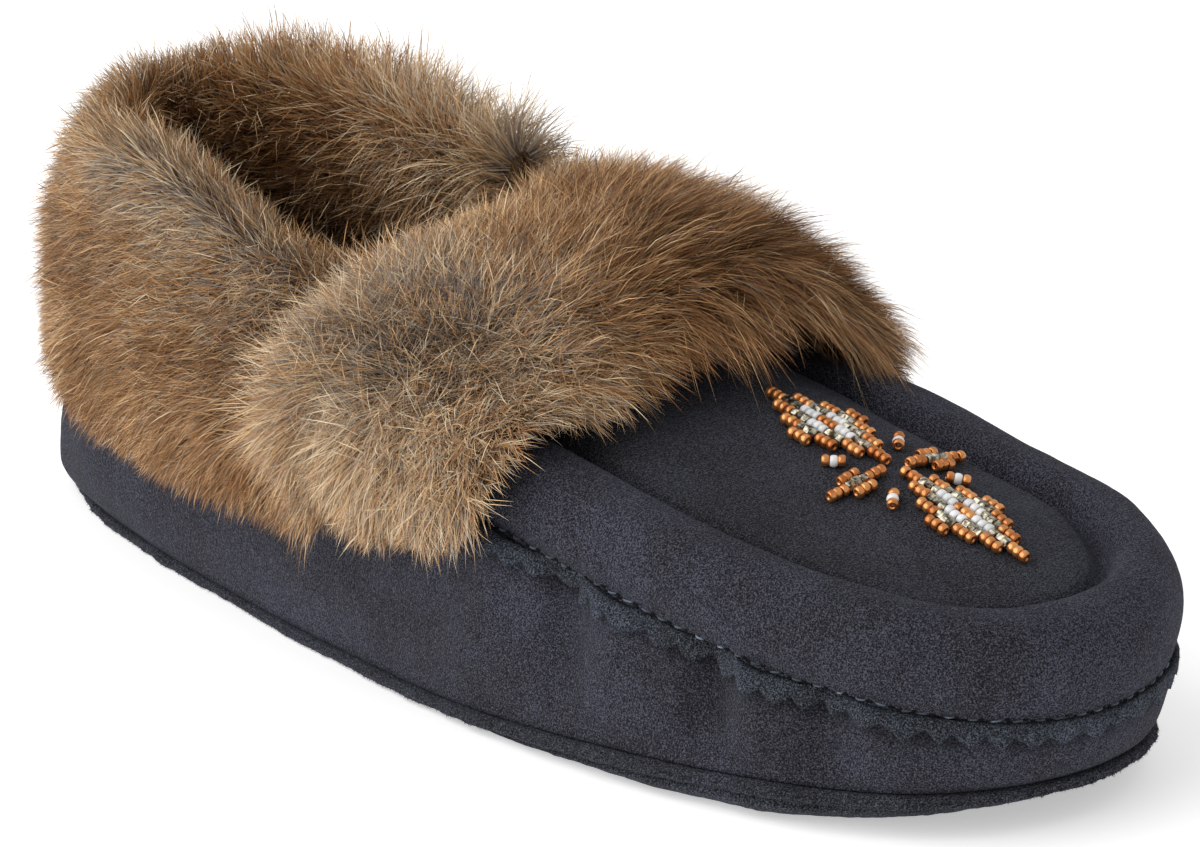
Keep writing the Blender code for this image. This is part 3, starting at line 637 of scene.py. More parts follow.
def sculpt_upper(grid, edge, normals):
    """The upper's outer face with its folds, stitch pulls and soft padding's lumps, and the shade painted on
    it.
    """
    out = row_normals(grid)
    s = y_to_s(edge[:, 1])[None, :]
    side = np.where(normals[:, 0] > 0, -1.0, 1.0)[None, :]
    row = np.arange(len(grid))[:, None]
    t = row / STITCH_ROW
    push = np.zeros(grid.shape[:2])
    for face, s_top, s_foot, t_top, t_foot, width, depth in zip(*FOLDS.values()):
        share = np.clip((t_top - t) / (t_top - t_foot), 0, 1)
        middle = s_top + (s_foot - s_top) * share
        across = bell((s - middle) * LENGTH, width * (0.8 + 0.5 * share))
        down = ramp(t, t_foot - 0.25, t_foot + 0.35) * (1 - ramp(t, 0.88, 1.0))
        push += depth * across * down * (side == face)
    troughs = np.clip(-push / DEEPEST_FOLD, 0, 1)
    # distance along each section from the stitched seam
    length = run_length(grid)
    from_seam = length - length[STITCH_ROW]
    shown = ramp(s, 0.50, 0.62)
    push -= SEAM_GROOVE * bell(from_seam, GROOVE_WIDTH) * shown
    around = run_length(grid[STITCH_ROW])[None, :]
    pull = 0.5 + 0.5 * np.cos(2 * math.pi * around / STITCH_PITCH)
    push -= 0.20 * pull * bell(from_seam - 0.7, 1.3) * shown
    # small gathers just above and below the seam
    gather = value_noise(np.stack(np.broadcast_arrays(around, 0.0, 0.0), axis=-1), 3.4, 3)
    push += 0.22 * gather * (1 - bell(from_seam, 1.2)) * bell(from_seam, 5.0) * shown
    # the roll's padding and the crease behind it
    push += 0.5 * value_noise(grid * (1, 1, 0.4), 21.0, 5) * ramp(from_seam, 3.0, 14.0) * shown
    from_valley = length - length[VALLEY_ROW]
    push -= VALLEY_CREASE * bell(from_valley, CREASE_WIDTH) * ramp(s, 0.5, 0.6)
    # broad unevenness everywhere, and a little on a small scale
    push += noises(grid, (0.30, 26.0, 7), (0.10, 6.0, 9), (0.035, 1.6, 11))
    # a fuller heel, and a fuller roll at the toe's medial corner
    push += HEEL_FULLER * ramp(t, 0.0, 0.12) * (1 - ramp(t, 0.18, 0.45)) * (1 - ramp(s, 0.03, 0.14))
    corner = ramp(s, 0.82, 0.90) * (1 - ramp(s, 0.95, 0.99)) * (side > 0)
    corner = corner * ramp(row, STITCH_ROW + 2, STITCH_ROW + 10)
    push += 0.9 * corner * (1 - ramp(row, CREST_ROW - 8, CREST_ROW + 2))
    push *= ramp(row, 0, 4)
    made = grid + out * push[:, :, None]
    (x, y), (wide, long), height = DOME
    dome = height * np.exp(-((made[:, :, 0] - x) / wide) ** 2 - ((made[:, :, 1] - y) / long) ** 2)
    ahead = ramp(-made[:, :, 1], 12.0, 40.0) * ramp(row, CREST_ROW, VALLEY_ROW - 2)
    made[:, :, 2] += (dome - VALLEY_DROP) * ahead
    # painted shade: in the seam, under the strip's teeth, low on the wall, in the folds' troughs and in the
    # valley
    painted_shade = 0.30 * bell(from_seam + 0.4, 0.8) * shown
    painted_shade += 0.85 * bell(from_seam + 4.5, 1.7) * shown * (0.75 + 0.5 * np.clip(gather, -0.5, 0.5))
    painted_shade += 0.45 * (1 - ramp(t, 0.0, 0.09)) + 0.35 * bell(from_valley, 2.0) * ramp(s, 0.5, 0.6)
    return made, np.clip(painted_shade + 0.22 * troughs, 0, 1)


def some_rows(count, wall_step, plug_step):
    """The rows that a coarser layer inside the upper takes from its outer face."""
    return [*range(0, STITCH_ROW, wall_step), *range(STITCH_ROW, LIP_ROW, 5),
            *range(LIP_ROW, count - 1, plug_step), count - 1]


def build_upper():
    """The suede shell; gives back the sole's edge, its normals and the grid of the outer face."""
    edge, normals = outline(UPPER_COLUMNS)
    rows = upper_rows(edge, normals, WALL_STEPS, ROLL_STEPS, PLUG_STEPS)
    seam = WALL_STEPS * WALL_LOOPS
    below = [rows[seam - 1] + (rows[seam] - rows[seam - 1]) * u for u in (0.4, 0.65, 0.84)]
    above = [0.5 * (rows[seam] + rows[seam + 1]), 0.5 * (rows[seam + 1] + rows[seam + 2])]
    rows = [*rows[:seam], *below, rows[seam], above[0], rows[seam + 1], above[1], *rows[seam + 2:]]
    grid, painted_shade = sculpt_upper(np.array(rows), edge, normals)
    out = row_normals(grid)
    inner = (grid - SKIN * out)[some_rows(len(grid), 7, 8)]
    inner[0][:, 2] = grid[0][:, 2]
    loops = np.concatenate([grid, inner[::-1]])
    faces = loop_faces(len(loops), UPPER_COLUMNS, wrap_rows=True)
    made = make_mesh("upper_suede", loops, faces, SUEDE, ["upper"])
    # the outer face carries the painted shade of its seam, folds, foot and valley; the inner face none
    paint_shade(made, np.concatenate([painted_shade.ravel(), np.zeros(len(inner) * UPPER_COLUMNS)]))
    # the plug has its own smoother skin, a touch darker: partly its own tone, partly painted shade of its top
    made.data.materials.append(SUEDE_PLUG)
    row_of_face = np.arange(len(faces)) // UPPER_COLUMNS
    plug = (row_of_face >= VALLEY_ROW) & (row_of_face < len(grid))
    made.data.polygons.foreach_set("material_index", plug.astype(np.int32))
    return edge, normals, grid


def build_lining(grid):
    """Fleece inside the suede."""
    every = slice(None, None, 3)
    thin = grid[:, every]
    out = row_normals(thin)
    picked = some_rows(len(grid), 4, 4)
    near = (thin - (SKIN + 0.1) * out)[picked]
    pile = noises(thin, (0.25, 2.2, 21), (0.3, 7.0, 22))
    far = (thin - (WALL + pile)[:, :, None] * out)[picked]
    near[0][:, 2] = far[0][:, 2] = grid[0][every, 2]
    loops = np.concatenate([near, far[::-1]])
    make_mesh("lining_fleece", loops, loop_faces(len(loops), thin.shape[1], wrap_rows=True), FLEECE)


# ---------------------------------------------------------------- the sole and the footbed
SOLE_COLUMNS = 720
SOLE_PITCH = 3.1      # between the stitches that hold the sole's edge
FOOTBED_COLUMNS = 160


def build_sole():
    """The suede sole: a padded underside below a raw edge of two layers."""
    edge, normals = outline(SOLE_COLUMNS)
    s = y_to_s(edge[:, 1])
    floor, seam, thick = (column(SOLE, name, s) for name in ("floor", "seam", "edge"))
    floor = np.maximum(floor, 0.0)
    place = np.column_stack([edge, np.zeros(len(edge))])
    ragged = noises(place, (0.36, 1.2, 31), (0.28, 4.5, 32), (0.25, 14.0, 33))
    around = run_length(edge)
    front = ramp(s, 0.50, 0.66)
    dent = (0.15 + 0.35 * front) * ramp(np.cos(2 * math.pi * around / SOLE_PITCH), 0.0, 1.0)
    tuck = 0.6 * (1 - ramp(s, 0.35, 0.60))
    under = seam - thick
    deep = under - floor
    belly = ramp(s, 0.54, 0.66) * (1 - ramp(s, 0.84, 0.95))
    padded = belly * (1.0 + 0.25 * value_noise(place, 11.0, 38))
    rows = [
        (30.0, floor),
        (14.0, floor),
        (8.0 - 1.5 * padded, floor + 0.03 * deep),
        (4.8 - 2.2 * padded, floor + 0.30 * deep),
        (3.0 - 2.0 * padded + 0.3 * ragged, floor + 0.70 * deep),
        (2.9 - 0.9 * padded, under),
        (tuck + 0.55 + ragged, under + 0.12),
        (tuck + 0.1 + ragged, seam - 0.72 * thick),
        (tuck + 0.15 * front + dent + 0.9 * ragged, seam - 0.50 * thick),
        (tuck + 0.15 + 0.8 * ragged, seam - 0.30 * thick),
        (tuck + 0.55 + 0.7 * ragged, seam - 0.05),
        (8.0, seam),
    ]
    counts = [1, 3, 4, 3, 2, 2, 2, 2, 2, 2, 3]
    rows = np.array(spline_rows([inset(edge, normals, d, z) for d, z in rows], counts))
    rows[:, :, 2] = np.maximum(rows[:, :, 2], 0.0)
    fuzz = noises(rows, (0.10, 0.9, 36), (0.16, 2.4, 37)) * ramp(rows[:, :, 2], 0.4, 1.6)
    rows[1:-1] += (row_normals(rows) * fuzz[:, :, None])[1:-1]
    rows[:, :, 2] = np.maximum(rows[:, :, 2], 0.0)
    make_mesh("sole_suede", rows, stack_faces(rows), SUEDE_SOLE, ["outsole"])
    return rows, sum(counts[:5]), sum(counts[:10])


def build_footbed():
    """The fleece footbed, rising with the sole, its top a little uneven."""
    edge, normals = outline(FOOTBED_COLUMNS)
    low = column(SOLE, "seam", y_to_s(edge[:, 1])) + GAP
    inside = SEAM_IN + WALL + 2 * GAP
    rings = [(3.0, 0.0), (0.4, 0.0), (0.0, 0.6 * INSOLE_THICKNESS), (2.5, INSOLE_THICKNESS)]
    rings = [inset(edge, normals, inside + d, low + z) for d, z in rings]
    centre = np.column_stack([np.interp(edge[:, 1], [-120.0, 115.0], [AXIS_X + 4.0, AXIS_X]), edge[:, 1],
                              low + INSOLE_THICKNESS])
    centre[:, 1] *= 0.86
    for u in (0.15, 0.3, 0.45, 0.6, 0.75, 0.9):
        rings.append(rings[3] + (centre - rings[3]) * u)
    rows = np.array(rings)
    top = slice(3, None)
    height = column(SOLE, "seam", y_to_s(rows[top][:, :, 1])) + GAP + INSOLE_THICKNESS
    rows[top][:, :, 2] = height
    rows[top][:, :, 2] += noises(rows[top], (0.35, 3.0, 41), (0.2, 9.0, 42)) - 0.3
    make_mesh("footbed_fleece", rows, stack_faces(rows), FLEECE, ["insole"])


# ---------------------------------------------------------------- the pinked strip and the stitches
PINKED_START = 0.60
PATH_STEP = 0.45      # between the points of the path that the strip and the stitches follow
TOOTH_PITCH = 6.1
TEETH = 200           # more than the strip has room for
STITCH_SIDES, STITCH_RINGS, THREAD_RADIUS = 6, 5, 0.19
STITCH_SHARE = 0.29   # half a stitch's length, as a share of the pitch
HOLE_SIDES = 7


class WallPath:
    """The stitched seam as a path from the lateral side round the toe, with the wall below it."""

    def __init__(self, edge, normals, grid):
        s = y_to_s(edge[:, 1])
        run = np.flatnonzero(s > PINKED_START)
        seam = grid[STITCH_ROW, run]
        d = run_length(seam)
        self.d = np.arange(0, d[-1], PATH_STEP)
        place = np.interp(self.d, d, run)
        low = np.floor(place).astype(int)
        mix = place - low
        face = grid[: STITCH_ROW + 12]
        self.wall = face[:, low] * (1 - mix)[:, None] + face[:, low + 1] * mix[:, None]
        self.normal = normals[low]
        self.seam = self.wall[STITCH_ROW]
        self.s = y_to_s(self.seam[:, 1])

    def point(self, i, drop, off):
        """The point of column i that lies drop below the seam, standing off the wall."""
        face = self.wall[:, i]
        z = self.seam[i, 2] - drop
        at = [np.interp(z, face[:, 2], face[:, k]) for k in (0, 1)]
        return at[0] - self.normal[i, 0] * off, at[1] - self.normal[i, 1] * off, z


def build_pinked(path):
    """The toothed strip: each tooth has its own width, length and lift."""
    teeth = np.cumsum(np.concatenate([[0.0], TOOTH_PITCH * (0.74 + 0.52 * RNG.random(TEETH))]))
    drop_tip = 4.2 + 0.9 * RNG.random(TEETH)
    drop_notch = 2.5 + 0.5 * RNG.random(TEETH)
    lift = 0.7 + 1.3 * RNG.random(TEETH) ** 1.5
    rings, dark = [], []
    for i in range(len(path.d)):
        thin = 1 - 0.55 * ramp(-path.normal[i][0], 0.0, 0.5)
        k = int(np.searchsorted(teeth, path.d[i], side="right")) - 1
        u = (path.d[i] - teeth[k]) / (teeth[k + 1] - teeth[k])
        rise = (1 - abs(2 * u - 1)) ** (0.7 if path.s[i] < 0.9 else 1.0)
        notch = drop_notch[k] * (1 - u) + drop_notch[k + 1] * u
        drop = notch + (drop_tip[k] - notch) * rise
        raise_ = lift[k] * rise * thin
        jag = RNG.normal(0, 0.12, 4)
        ring = [
            (0.35, 0.15),
            (0.80, 0.80 + 0.08 * jag[0]),
            (0.45 * drop, 1.15 * thin + 0.4 * raise_ + 0.1 * jag[1]),
            (0.8 * drop + 0.3 * jag[2], 1.25 * thin + 0.8 * raise_ + 0.12 * jag[3]),
            (drop + 0.4 * jag[0], 1.05 * thin + raise_),
            (drop - 0.10 + 0.35 * jag[1], 0.10 + 0.8 * raise_),
            (0.5 * drop, 0.06 + 0.12 * raise_),
        ]
        rings.append([path.point(i, a, b) for a, b in ring])
        # painted shade: darkest by the seam and on the strip's back against the wall, a little at its edge
        # and in the notches
        dark.append([0.7, 0.15, 0.35 * (1 - rise) ** 2, 0.5 * (1 - rise) ** 2, 0.25, 0.8, 0.8])
    rings = np.array(rings)
    rings += 0.10 * value_noise(rings, 0.8, 51)[:, :, None]
    made = make_mesh("pinked_strip", rings, tube_faces(rings), SUEDE_EDGE, ["pinked_seam"])
    paint_shade(made, np.ravel(dark))
    return rings


def stitch_rings(points):
    """The rings of one stitch's thread through the given points, narrower at both ends."""
    points = np.asarray(points, float)
    ahead = unit(np.gradient(points, axis=0))
    side = unit(np.cross(ahead, np.array((0.1, 0.2, 0.97))))
    up = np.cross(side, ahead)
    angle = np.arange(STITCH_SIDES) * 2 * math.pi / STITCH_SIDES
    taper = np.ones(len(points))
    taper[[0, -1]] = 0.55
    ring = (side[:, None] * np.cos(angle)[None, :, None] + up[:, None] * np.sin(angle)[None, :, None])
    return points[:, None] + ring * (THREAD_RADIUS * taper)[:, None, None]


def build_stitches(path):
    """Short running stitches of thread along the seam; a near-black cone at each end paints the needle hole's
    shade.
    """
    stitches, hole_shades = [], []
    angle = np.arange(HOLE_SIDES) * 2 * math.pi / HOLE_SIDES
    step = path.d[1]
    for k in range(int(path.d[-1] / STITCH_PITCH) - 1):
        i = int((k + 0.5 + 0.06 * RNG.normal()) * STITCH_PITCH / step)
        reach = STITCH_SHARE * STITCH_PITCH * (0.85 + 0.3 * RNG.random()) / step
        i = min(max(i, 6), len(path.d) - 7)
        tilt = -0.20 + 0.10 * RNG.normal()
        sunk = 0.25 * RNG.random() + (0.15 if path.s[i] > 0.93 else 0.0)
        line = []
        for u in np.linspace(-1, 1, STITCH_RINGS):
            low, part = int(math.floor(i + u * reach)), (i + u * reach) % 1.0
            drop, off = tilt * u + 0.05, 0.42 - sunk - 0.5 * u * u
            a, b = (np.array(path.point(j, drop, off)) for j in (low, low + 1))
            line.append(a * (1 - part) + b * part)
        stitches.append(stitch_rings(line))
        # a near-black cone at each end of the stitch: painted shade of its needle hole
        for way in (-1, 1):
            j = i + way * int(round(reach + 0.8))
            outward = -np.array((*path.normal[j], 0.0))
            ahead = unit(path.seam[j + 1] - path.seam[j])
            size = 0.32 + 0.20 * RNG.random()
            ring = size * (1.2 * np.cos(angle)[:, None] * ahead
                           + 0.8 * np.sin(angle)[:, None] * np.cross(ahead, outward))
            middle = np.array(path.point(j, 0.08 + tilt * way, 0.0))
            hole_shades.append(np.concatenate([[middle + 0.36 * outward], middle + ring + 0.04 * outward]))
    faces = [repeated(f, len(stitches), STITCH_SIDES * STITCH_RINGS) for f in tube_faces(stitches[0])]
    make_mesh("seam_stitches", stitches, faces, THREAD)
    fan = np.array([(0, 1 + m, 1 + (m + 1) % HOLE_SIDES) for m in range(HOLE_SIDES)])
    make_mesh("painted_needle_hole_shades", hole_shades, repeated(fan, len(hole_shades), HOLE_SIDES + 1), SUEDE_HOLE_SHADE)


# ---------------------------------------------------------------- beads
# The chart: the rows of each petal from its middle row outwards, in groups of three beads, each
# shown once (C copper, S silver square-cut, W white). Row n starts n groups in from the petal's tip.
BIG_CHART = ("CSWCWSC", "CSWSC", "CSC", "C")
SMALL_CHART = ("CSC", "C")


def bead_form(kind):
    """One bead as points and faces, its hole along X."""
    turns = {"C": 14, "W": 14, "S": 6}[kind]
    half, radius, hole = 0.5 * BEAD_LENGTH * 0.97, 0.5 * BEAD_WIDTH * 0.985, 0.42
    if kind == "S":
        front = [(-half, hole), (-half, radius * 0.86), (-half * 0.86, radius * 0.97)]
        profile = front + [(-x, r) for x, r in front[::-1]]
    else:
        steps = np.linspace(-1.45, 1.45, 8)
        belly = [(half * math.sin(a), radius * (0.66 + 0.34 * math.cos(a))) for a in steps]
        profile = [(-half * 0.92, hole), *belly, (half * 0.92, hole)]
    angle = np.arange(turns) * 2 * math.pi / turns
    rings = np.array([[(x, r * math.cos(a), r * math.sin(a)) for a in angle] for x, r in profile])
    return rings.reshape(-1, 3), loop_faces(len(profile), turns, wrap_rows=True)


def build_beads(grid):
    """The beadwork, laid bead by bead on the plug."""
    flat = grid[STITCH_ROW:]
    tree = BVHTree.FromPolygons([tuple(p) for p in flat.reshape(-1, 3)],
                                [tuple(f) for f in loop_faces(len(flat), flat.shape[1]).tolist()])
    middle = np.array([AXIS_X + MOTIF_X, HEEL_Y - MOTIF_FROM_HEEL])
    beads = {"C": [], "S": [], "W": []}

    def place(kind, x, y, bearing):
        x, y = x + RNG.normal(0, 0.07), y + RNG.normal(0, 0.07)
        hit, normal = tree.ray_cast(Vector((x, y, 120.0)), Vector((0, 0, -1)))[:2]
        along = Vector((math.cos(bearing + RNG.normal(0, 0.06)), math.sin(bearing + RNG.normal(0, 0.06)), 0))
        along = (along - normal * along.dot(normal)).normalized()
        turn = Matrix((along, normal.cross(along), normal)).transposed()
        spin = Matrix.Rotation(RNG.random() * 2 * math.pi, 3, "X")
        beads[kind].append((turn @ spin, hit + normal * (0.5 * BEAD_WIDTH + 0.05 + RNG.normal(0, 0.06))))

    def petal(chart, reach, bearing):
        axis = np.array((math.cos(bearing), math.sin(bearing)))
        across = np.array((-axis[1], axis[0]))
        for number, row in enumerate(chart):
            kinds = [kind for kind in row for _ in range(3)]
            for way in ((1,) if number == 0 else (-1, 1)):
                for i, kind in enumerate(kinds):
                    at = middle + axis * (reach + (i - 0.5 * (len(kinds) - 1)) * BEAD_LENGTH)
                    at = at + across * way * number * BEAD_WIDTH * 0.97
                    place(kind, *at, bearing)

    for chart, reach, bearing in ((BIG_CHART, BIG_REACH, -90), (BIG_CHART, BIG_REACH, 90),
                                  (SMALL_CHART, SMALL_REACH, 180), (SMALL_CHART, SMALL_REACH, 0)):
        petal(chart, reach, math.radians(bearing))
    for bearing in (-135, -45, 45, 135):
        turn = math.radians(bearing)
        for i, kind in enumerate("CWC"):
            reach = ACCENT_REACH + (i - 1) * BEAD_LENGTH
            place(kind, middle[0] + reach * math.cos(turn), middle[1] + reach * math.sin(turn), turn)
    nodes = [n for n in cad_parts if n.startswith("bead_")]
    for kind, name, finish in (("C", "beads_copper", COPPER), ("S", "beads_silver", SILVER),
                               ("W", "beads_white", WHITE)):
        form, faces = bead_form(kind)
        points = [form @ np.array(turn).T + np.array(at) for turn, at in beads[kind]]
        made = make_mesh(name, points, repeated(faces, len(points), len(form)), finish,
                         nodes if kind == "C" else ())
        if kind == "S":
            made.data.shade_flat()


# ---------------------------------------------------------------- hair
DOWN = np.array((0.0, 0.0, -1.0))
# a hair's outline: share of its length, share of its width
GUARD_SHAPE = ((0.0, 1.0), (0.38, 0.95), (0.74, 0.62), (1.0, 0.0))
SOFT_SHAPE = ((0.0, 1.0), (0.55, 0.8), (1.0, 0.0))
FUZZ_SHAPE = ((0.0, 1.0), (1.0, 0.0))


HAIRS_PER_TUFT, TUFT_SPACING = 60, 6.0


def hair_mesh(name, roots, out, flow, height, lean, width, tone, dark_tip, droop, shape, roll, finish):
    """Hairs as narrow pointed ribbons: each rises along out, leans along flow and droops at its tip."""
    n, steps = len(roots), len(shape)
    share, taper = np.array(shape).T
    t = share[None, :, None]
    up = height[:, None, None] * (1.25 * t - 0.25 * t**2)
    along = (height * lean)[:, None, None] * (0.55 * t + 0.45 * t**2)
    fall = (height * droop)[:, None, None] * t**2
    line = roots[:, None] + out[:, None] * up + flow[:, None] * along + DOWN * fall
    ahead = unit(line[:, 1:] - line[:, :-1])
    face = unit(out + roll * unit(RNG.normal(size=(n, 3))))
    side = unit(np.cross(ahead, face[:, None])) * (0.5 * width)[:, None, None] * taper[None, :-1, None]
    pairs = np.stack([line[:, :-1] - side, line[:, :-1] + side], axis=2).reshape(n, 2 * steps - 2, 3)
    points = np.concatenate([pairs, line[:, -1:]], axis=1)
    points[:, :, 2] = np.maximum(points[:, :, 2], 0.02)
    corners = 2 * steps - 1
    base = np.arange(n)[:, None] * corners
    quads = [base + np.array((2 * k, 2 * k + 1, 2 * k + 3, 2 * k + 2)) for k in range(steps - 2)]
    tris = base + np.array((corners - 3, corners - 2, corners - 1))
    along_v = np.concatenate([np.repeat(share[:-1], 2), share[-1:]])
    v = along_v[None, :] * 0.49 + 0.505 * dark_tip[:, None]
    u = np.broadcast_to(np.clip(tone, 0.01, 0.99)[:, None], (n, corners))
    make_mesh(name, points, [*quads, tris], finish, uv=np.stack([u, v], axis=2).reshape(-1, 2))


def scatter(grid, count):
    """Random places on an open grid, even by area: fractional row and column of each."""
    a = grid[1:, 1:] - grid[:-1, :-1]
    b = grid[1:, :-1] - grid[:-1, 1:]
    area = np.linalg.norm(np.cross(a, b), axis=2)
    share = np.cumsum(area.ravel()) / area.sum()
    cell = np.searchsorted(share, RNG.random(count))
    return cell // area.shape[1] + RNG.random(count), cell % area.shape[1] + RNG.random(count)


def sample(grid, r, c):
    """Values of a grid at fractional rows and columns."""
    r0 = np.clip(np.floor(r).astype(int), 0, grid.shape[0] - 2)
    c0 = np.clip(np.floor(c).astype(int), 0, grid.shape[1] - 2)
    fr, fc = r - r0, c - c0
    if grid.ndim == 3:
        fr, fc = fr[:, None], fc[:, None]
    return ((grid[r0, c0] * (1 - fc) + grid[r0, c0 + 1] * fc) * (1 - fr)
            + (grid[r0 + 1, c0] * (1 - fc) + grid[r0 + 1, c0 + 1] * fc) * fr)


def clumped(roots, flow, out, strength):
    """Turns each hair's flow a little towards its tuft's middle, and every tuft its own way."""
    count = len(roots) // HAIRS_PER_TUFT
    guides = RNG.choice(len(roots), count, replace=False)
    tree = KDTree(count)
    for k, g in enumerate(guides):
        tree.insert(roots[g], k)
    tree.balance()
    nearest = np.array([tree.find(p)[1] for p in roots])
    to_guide = roots[guides[nearest]] - roots
    to_guide -= out * (to_guide * out).sum(axis=1, keepdims=True)
    swirl = unit(RNG.normal(size=(count, 3)))[nearest] * 0.2
    return flow + strength[:, None] * to_guide / TUFT_SPACING + swirl, nearest


def tangent(v, out):
    """The part of v that lies along the surface."""
    return unit(v - out * (v * out).sum(axis=-1, keepdims=True))


# The coats of both furs: the shortest hair as a share of the fur's reach, the power of the draw of its
# length, the thinnest hair and how much thicker it may be, the share of golden hairs, and the shape and roll
# of the coat's ribbons.
COATS = {
    "guard": (0.78, 1.7, 0.12, 0.11, 0.38, GUARD_SHAPE, 0.6),
    "under": (0.55, 1.0, 0.20, 0.16, None, SOFT_SHAPE, 0.3),
    "fine": (0.70, 1.0, 0.09, 0.09, 0.5, SOFT_SHAPE, 0.3),
}


def build_pelt(name, pelt, out, skin, seed):
    """The skin that the hair grows on, rough outside and closed behind."""
    rough = pelt + out * (0.8 * value_noise(pelt, 3.0, seed))[:, :, None]
    rings = np.concatenate([rough, skin[:, ::-1]], axis=1)
    make_mesh(f"{name}_pelt", rings, tube_faces(rings), PELT, [name])


def stray(kind, count):
    """How far a coat's hairs turn from the lie of the fur; about a third of the guard hairs turn further."""
    further = RNG.random(count) < 0.35
    return {"guard": 0.40 + 0.45 * further, "under": 0.35, "fine": 0.85}[kind] * np.ones(count)


def uneven(kind, tuft):
    """What the shade of each hair gains or loses, by itself and with its tuft."""
    return (0.07 if kind == "guard" else 0.035) * RNG.normal(size=len(tuft)) + 0.03 * np.sin(tuft * 2.4)


def grow_coat(name, kind, roots, out, flow, reach, lean, shade, grey, own, deep_grey, droop):
    """One coat of hairs.

    own says how much longer than the shortest a hair may be, what golden and dull hairs add to the shade,
    which share of the grey hairs stays grey, and which share has dark tips. deep_grey and droop are functions
    of a draw.
    """
    short, power, thin, thicker, golden, shape, roll = COATS[kind]
    longer, gold, dull, stays_grey, dark = own
    count = len(roots)
    height = reach * (short + longer * RNG.random(count) ** power)
    width = thin + thicker * RNG.random(count)
    if golden:
        shade = np.where(RNG.random(count) < golden, shade + gold, shade + dull)
        grey = grey & (RNG.random(count) < stays_grey)
    dark_tip = (RNG.random(count) < dark).astype(float)
    shade = np.where(grey, deep_grey(RNG.normal(size=count).clip(-1.5, 1.5)), shade.clip(0.01, WARM - 0.02))
    number = list(COATS).index(kind) + 1
    hair_mesh(f"{name}_{kind}_{number}", roots, out, flow, height, lean, width, shade, dark_tip,
              droop(RNG.random(count)), shape, roll, FUR)


# the collar's fur

COLLAR_HAIRS = {"guard": 25000, "under": 47000, "fine": 38000}
UNDER_FLAP = (13.0, 19.0)     # how far the collar's hair goes on below the flap: lateral, medial
COLLAR_COLUMNS = 120          # of the outline that its sections stand on
SECTION_STEPS = [5, 6, 6, 4, 4, 4, 4, 4, 4]
CREST = sum(SECTION_STEPS[:5])     # the column of its grid that runs along the rim


def collar_section(s, normal, outside, inside, share):
    """The fur's face over the collar, from its outer to its inner hem, at a share of its depth."""
    get = lambda name: float(column(FUR_COLLAR, name, s))

    def at(face, z, off):
        x, y = (np.interp(z, face[:, 2], face[:, k]) for k in (0, 1))
        return np.array([x + normal[0] * off, y + normal[1] * off, z])

    def over(off, rise):
        return outside[-1] + np.array([normal[0] * off, normal[1] * off, rise])

    hem, top = get("hem"), outside[-1, 2]
    low, mid = inside[WALL_LOOPS, 2] + 1.0, 0.5 * (hem + top)
    far, high, into = get("out") * share, get("top") * share, get("into") * share
    edge_in = 8.0 * (1 - share)
    return np.array([
        at(outside, hem + edge_in, -1.2 - 1.2 * share),
        at(outside, hem + 7.0 + 0.6 * edge_in, -0.9 - 0.8 * far),
        at(outside, mid, -0.9 - far),
        at(outside, top - 5.0, -0.9 - 0.9 * far),
        over(-0.9 - 0.5 * far, 0.9 + 0.72 * high),
        over(0.5 * WALL, 1.2 + high),
        over(WALL + 0.9 + 0.6 * into, 0.9 + 0.66 * high),
        over(WALL + 0.9 + into, -3.0),
        at(inside, low + 0.4 * (top - low), 0.9 + into),
        at(inside, low + edge_in, 1.2 + 1.2 * share),
    ])


def collar_grids(shares):
    """The collar's fur as grids: rows from the lateral front round the heel, columns over the section."""
    edge, normals = outline(COLLAR_COLUMNS)
    s = y_to_s(edge[:, 1])
    rows = upper_rows(edge, normals, 1, 1, 7)
    out = row_normals(rows)
    outside = np.array(rows)
    inside = outside - WALL * out
    inside[0][:, 2] = outside[0][:, 2]
    picked = []
    for from_heel, way, under in zip(COLLAR_ENDS, (1, -1), UNDER_FLAP):
        i = 0
        while edge[i + way, 1] > HEEL_Y - from_heel - under:
            i += way
        picked.append(i)
    order = list(range(picked[0], picked[1] - 1, -1))
    grids = []
    for share in shares:
        lines = [collar_section(s[i], normals[i], outside[:, i], inside[:, i], share) for i in order]
        fine = [np.array(spline_rows(line, SECTION_STEPS)) for line in lines]
        dense = spline_rows(fine, [2] * (len(fine) - 1))
        grids.append(np.array(dense))
    return grids


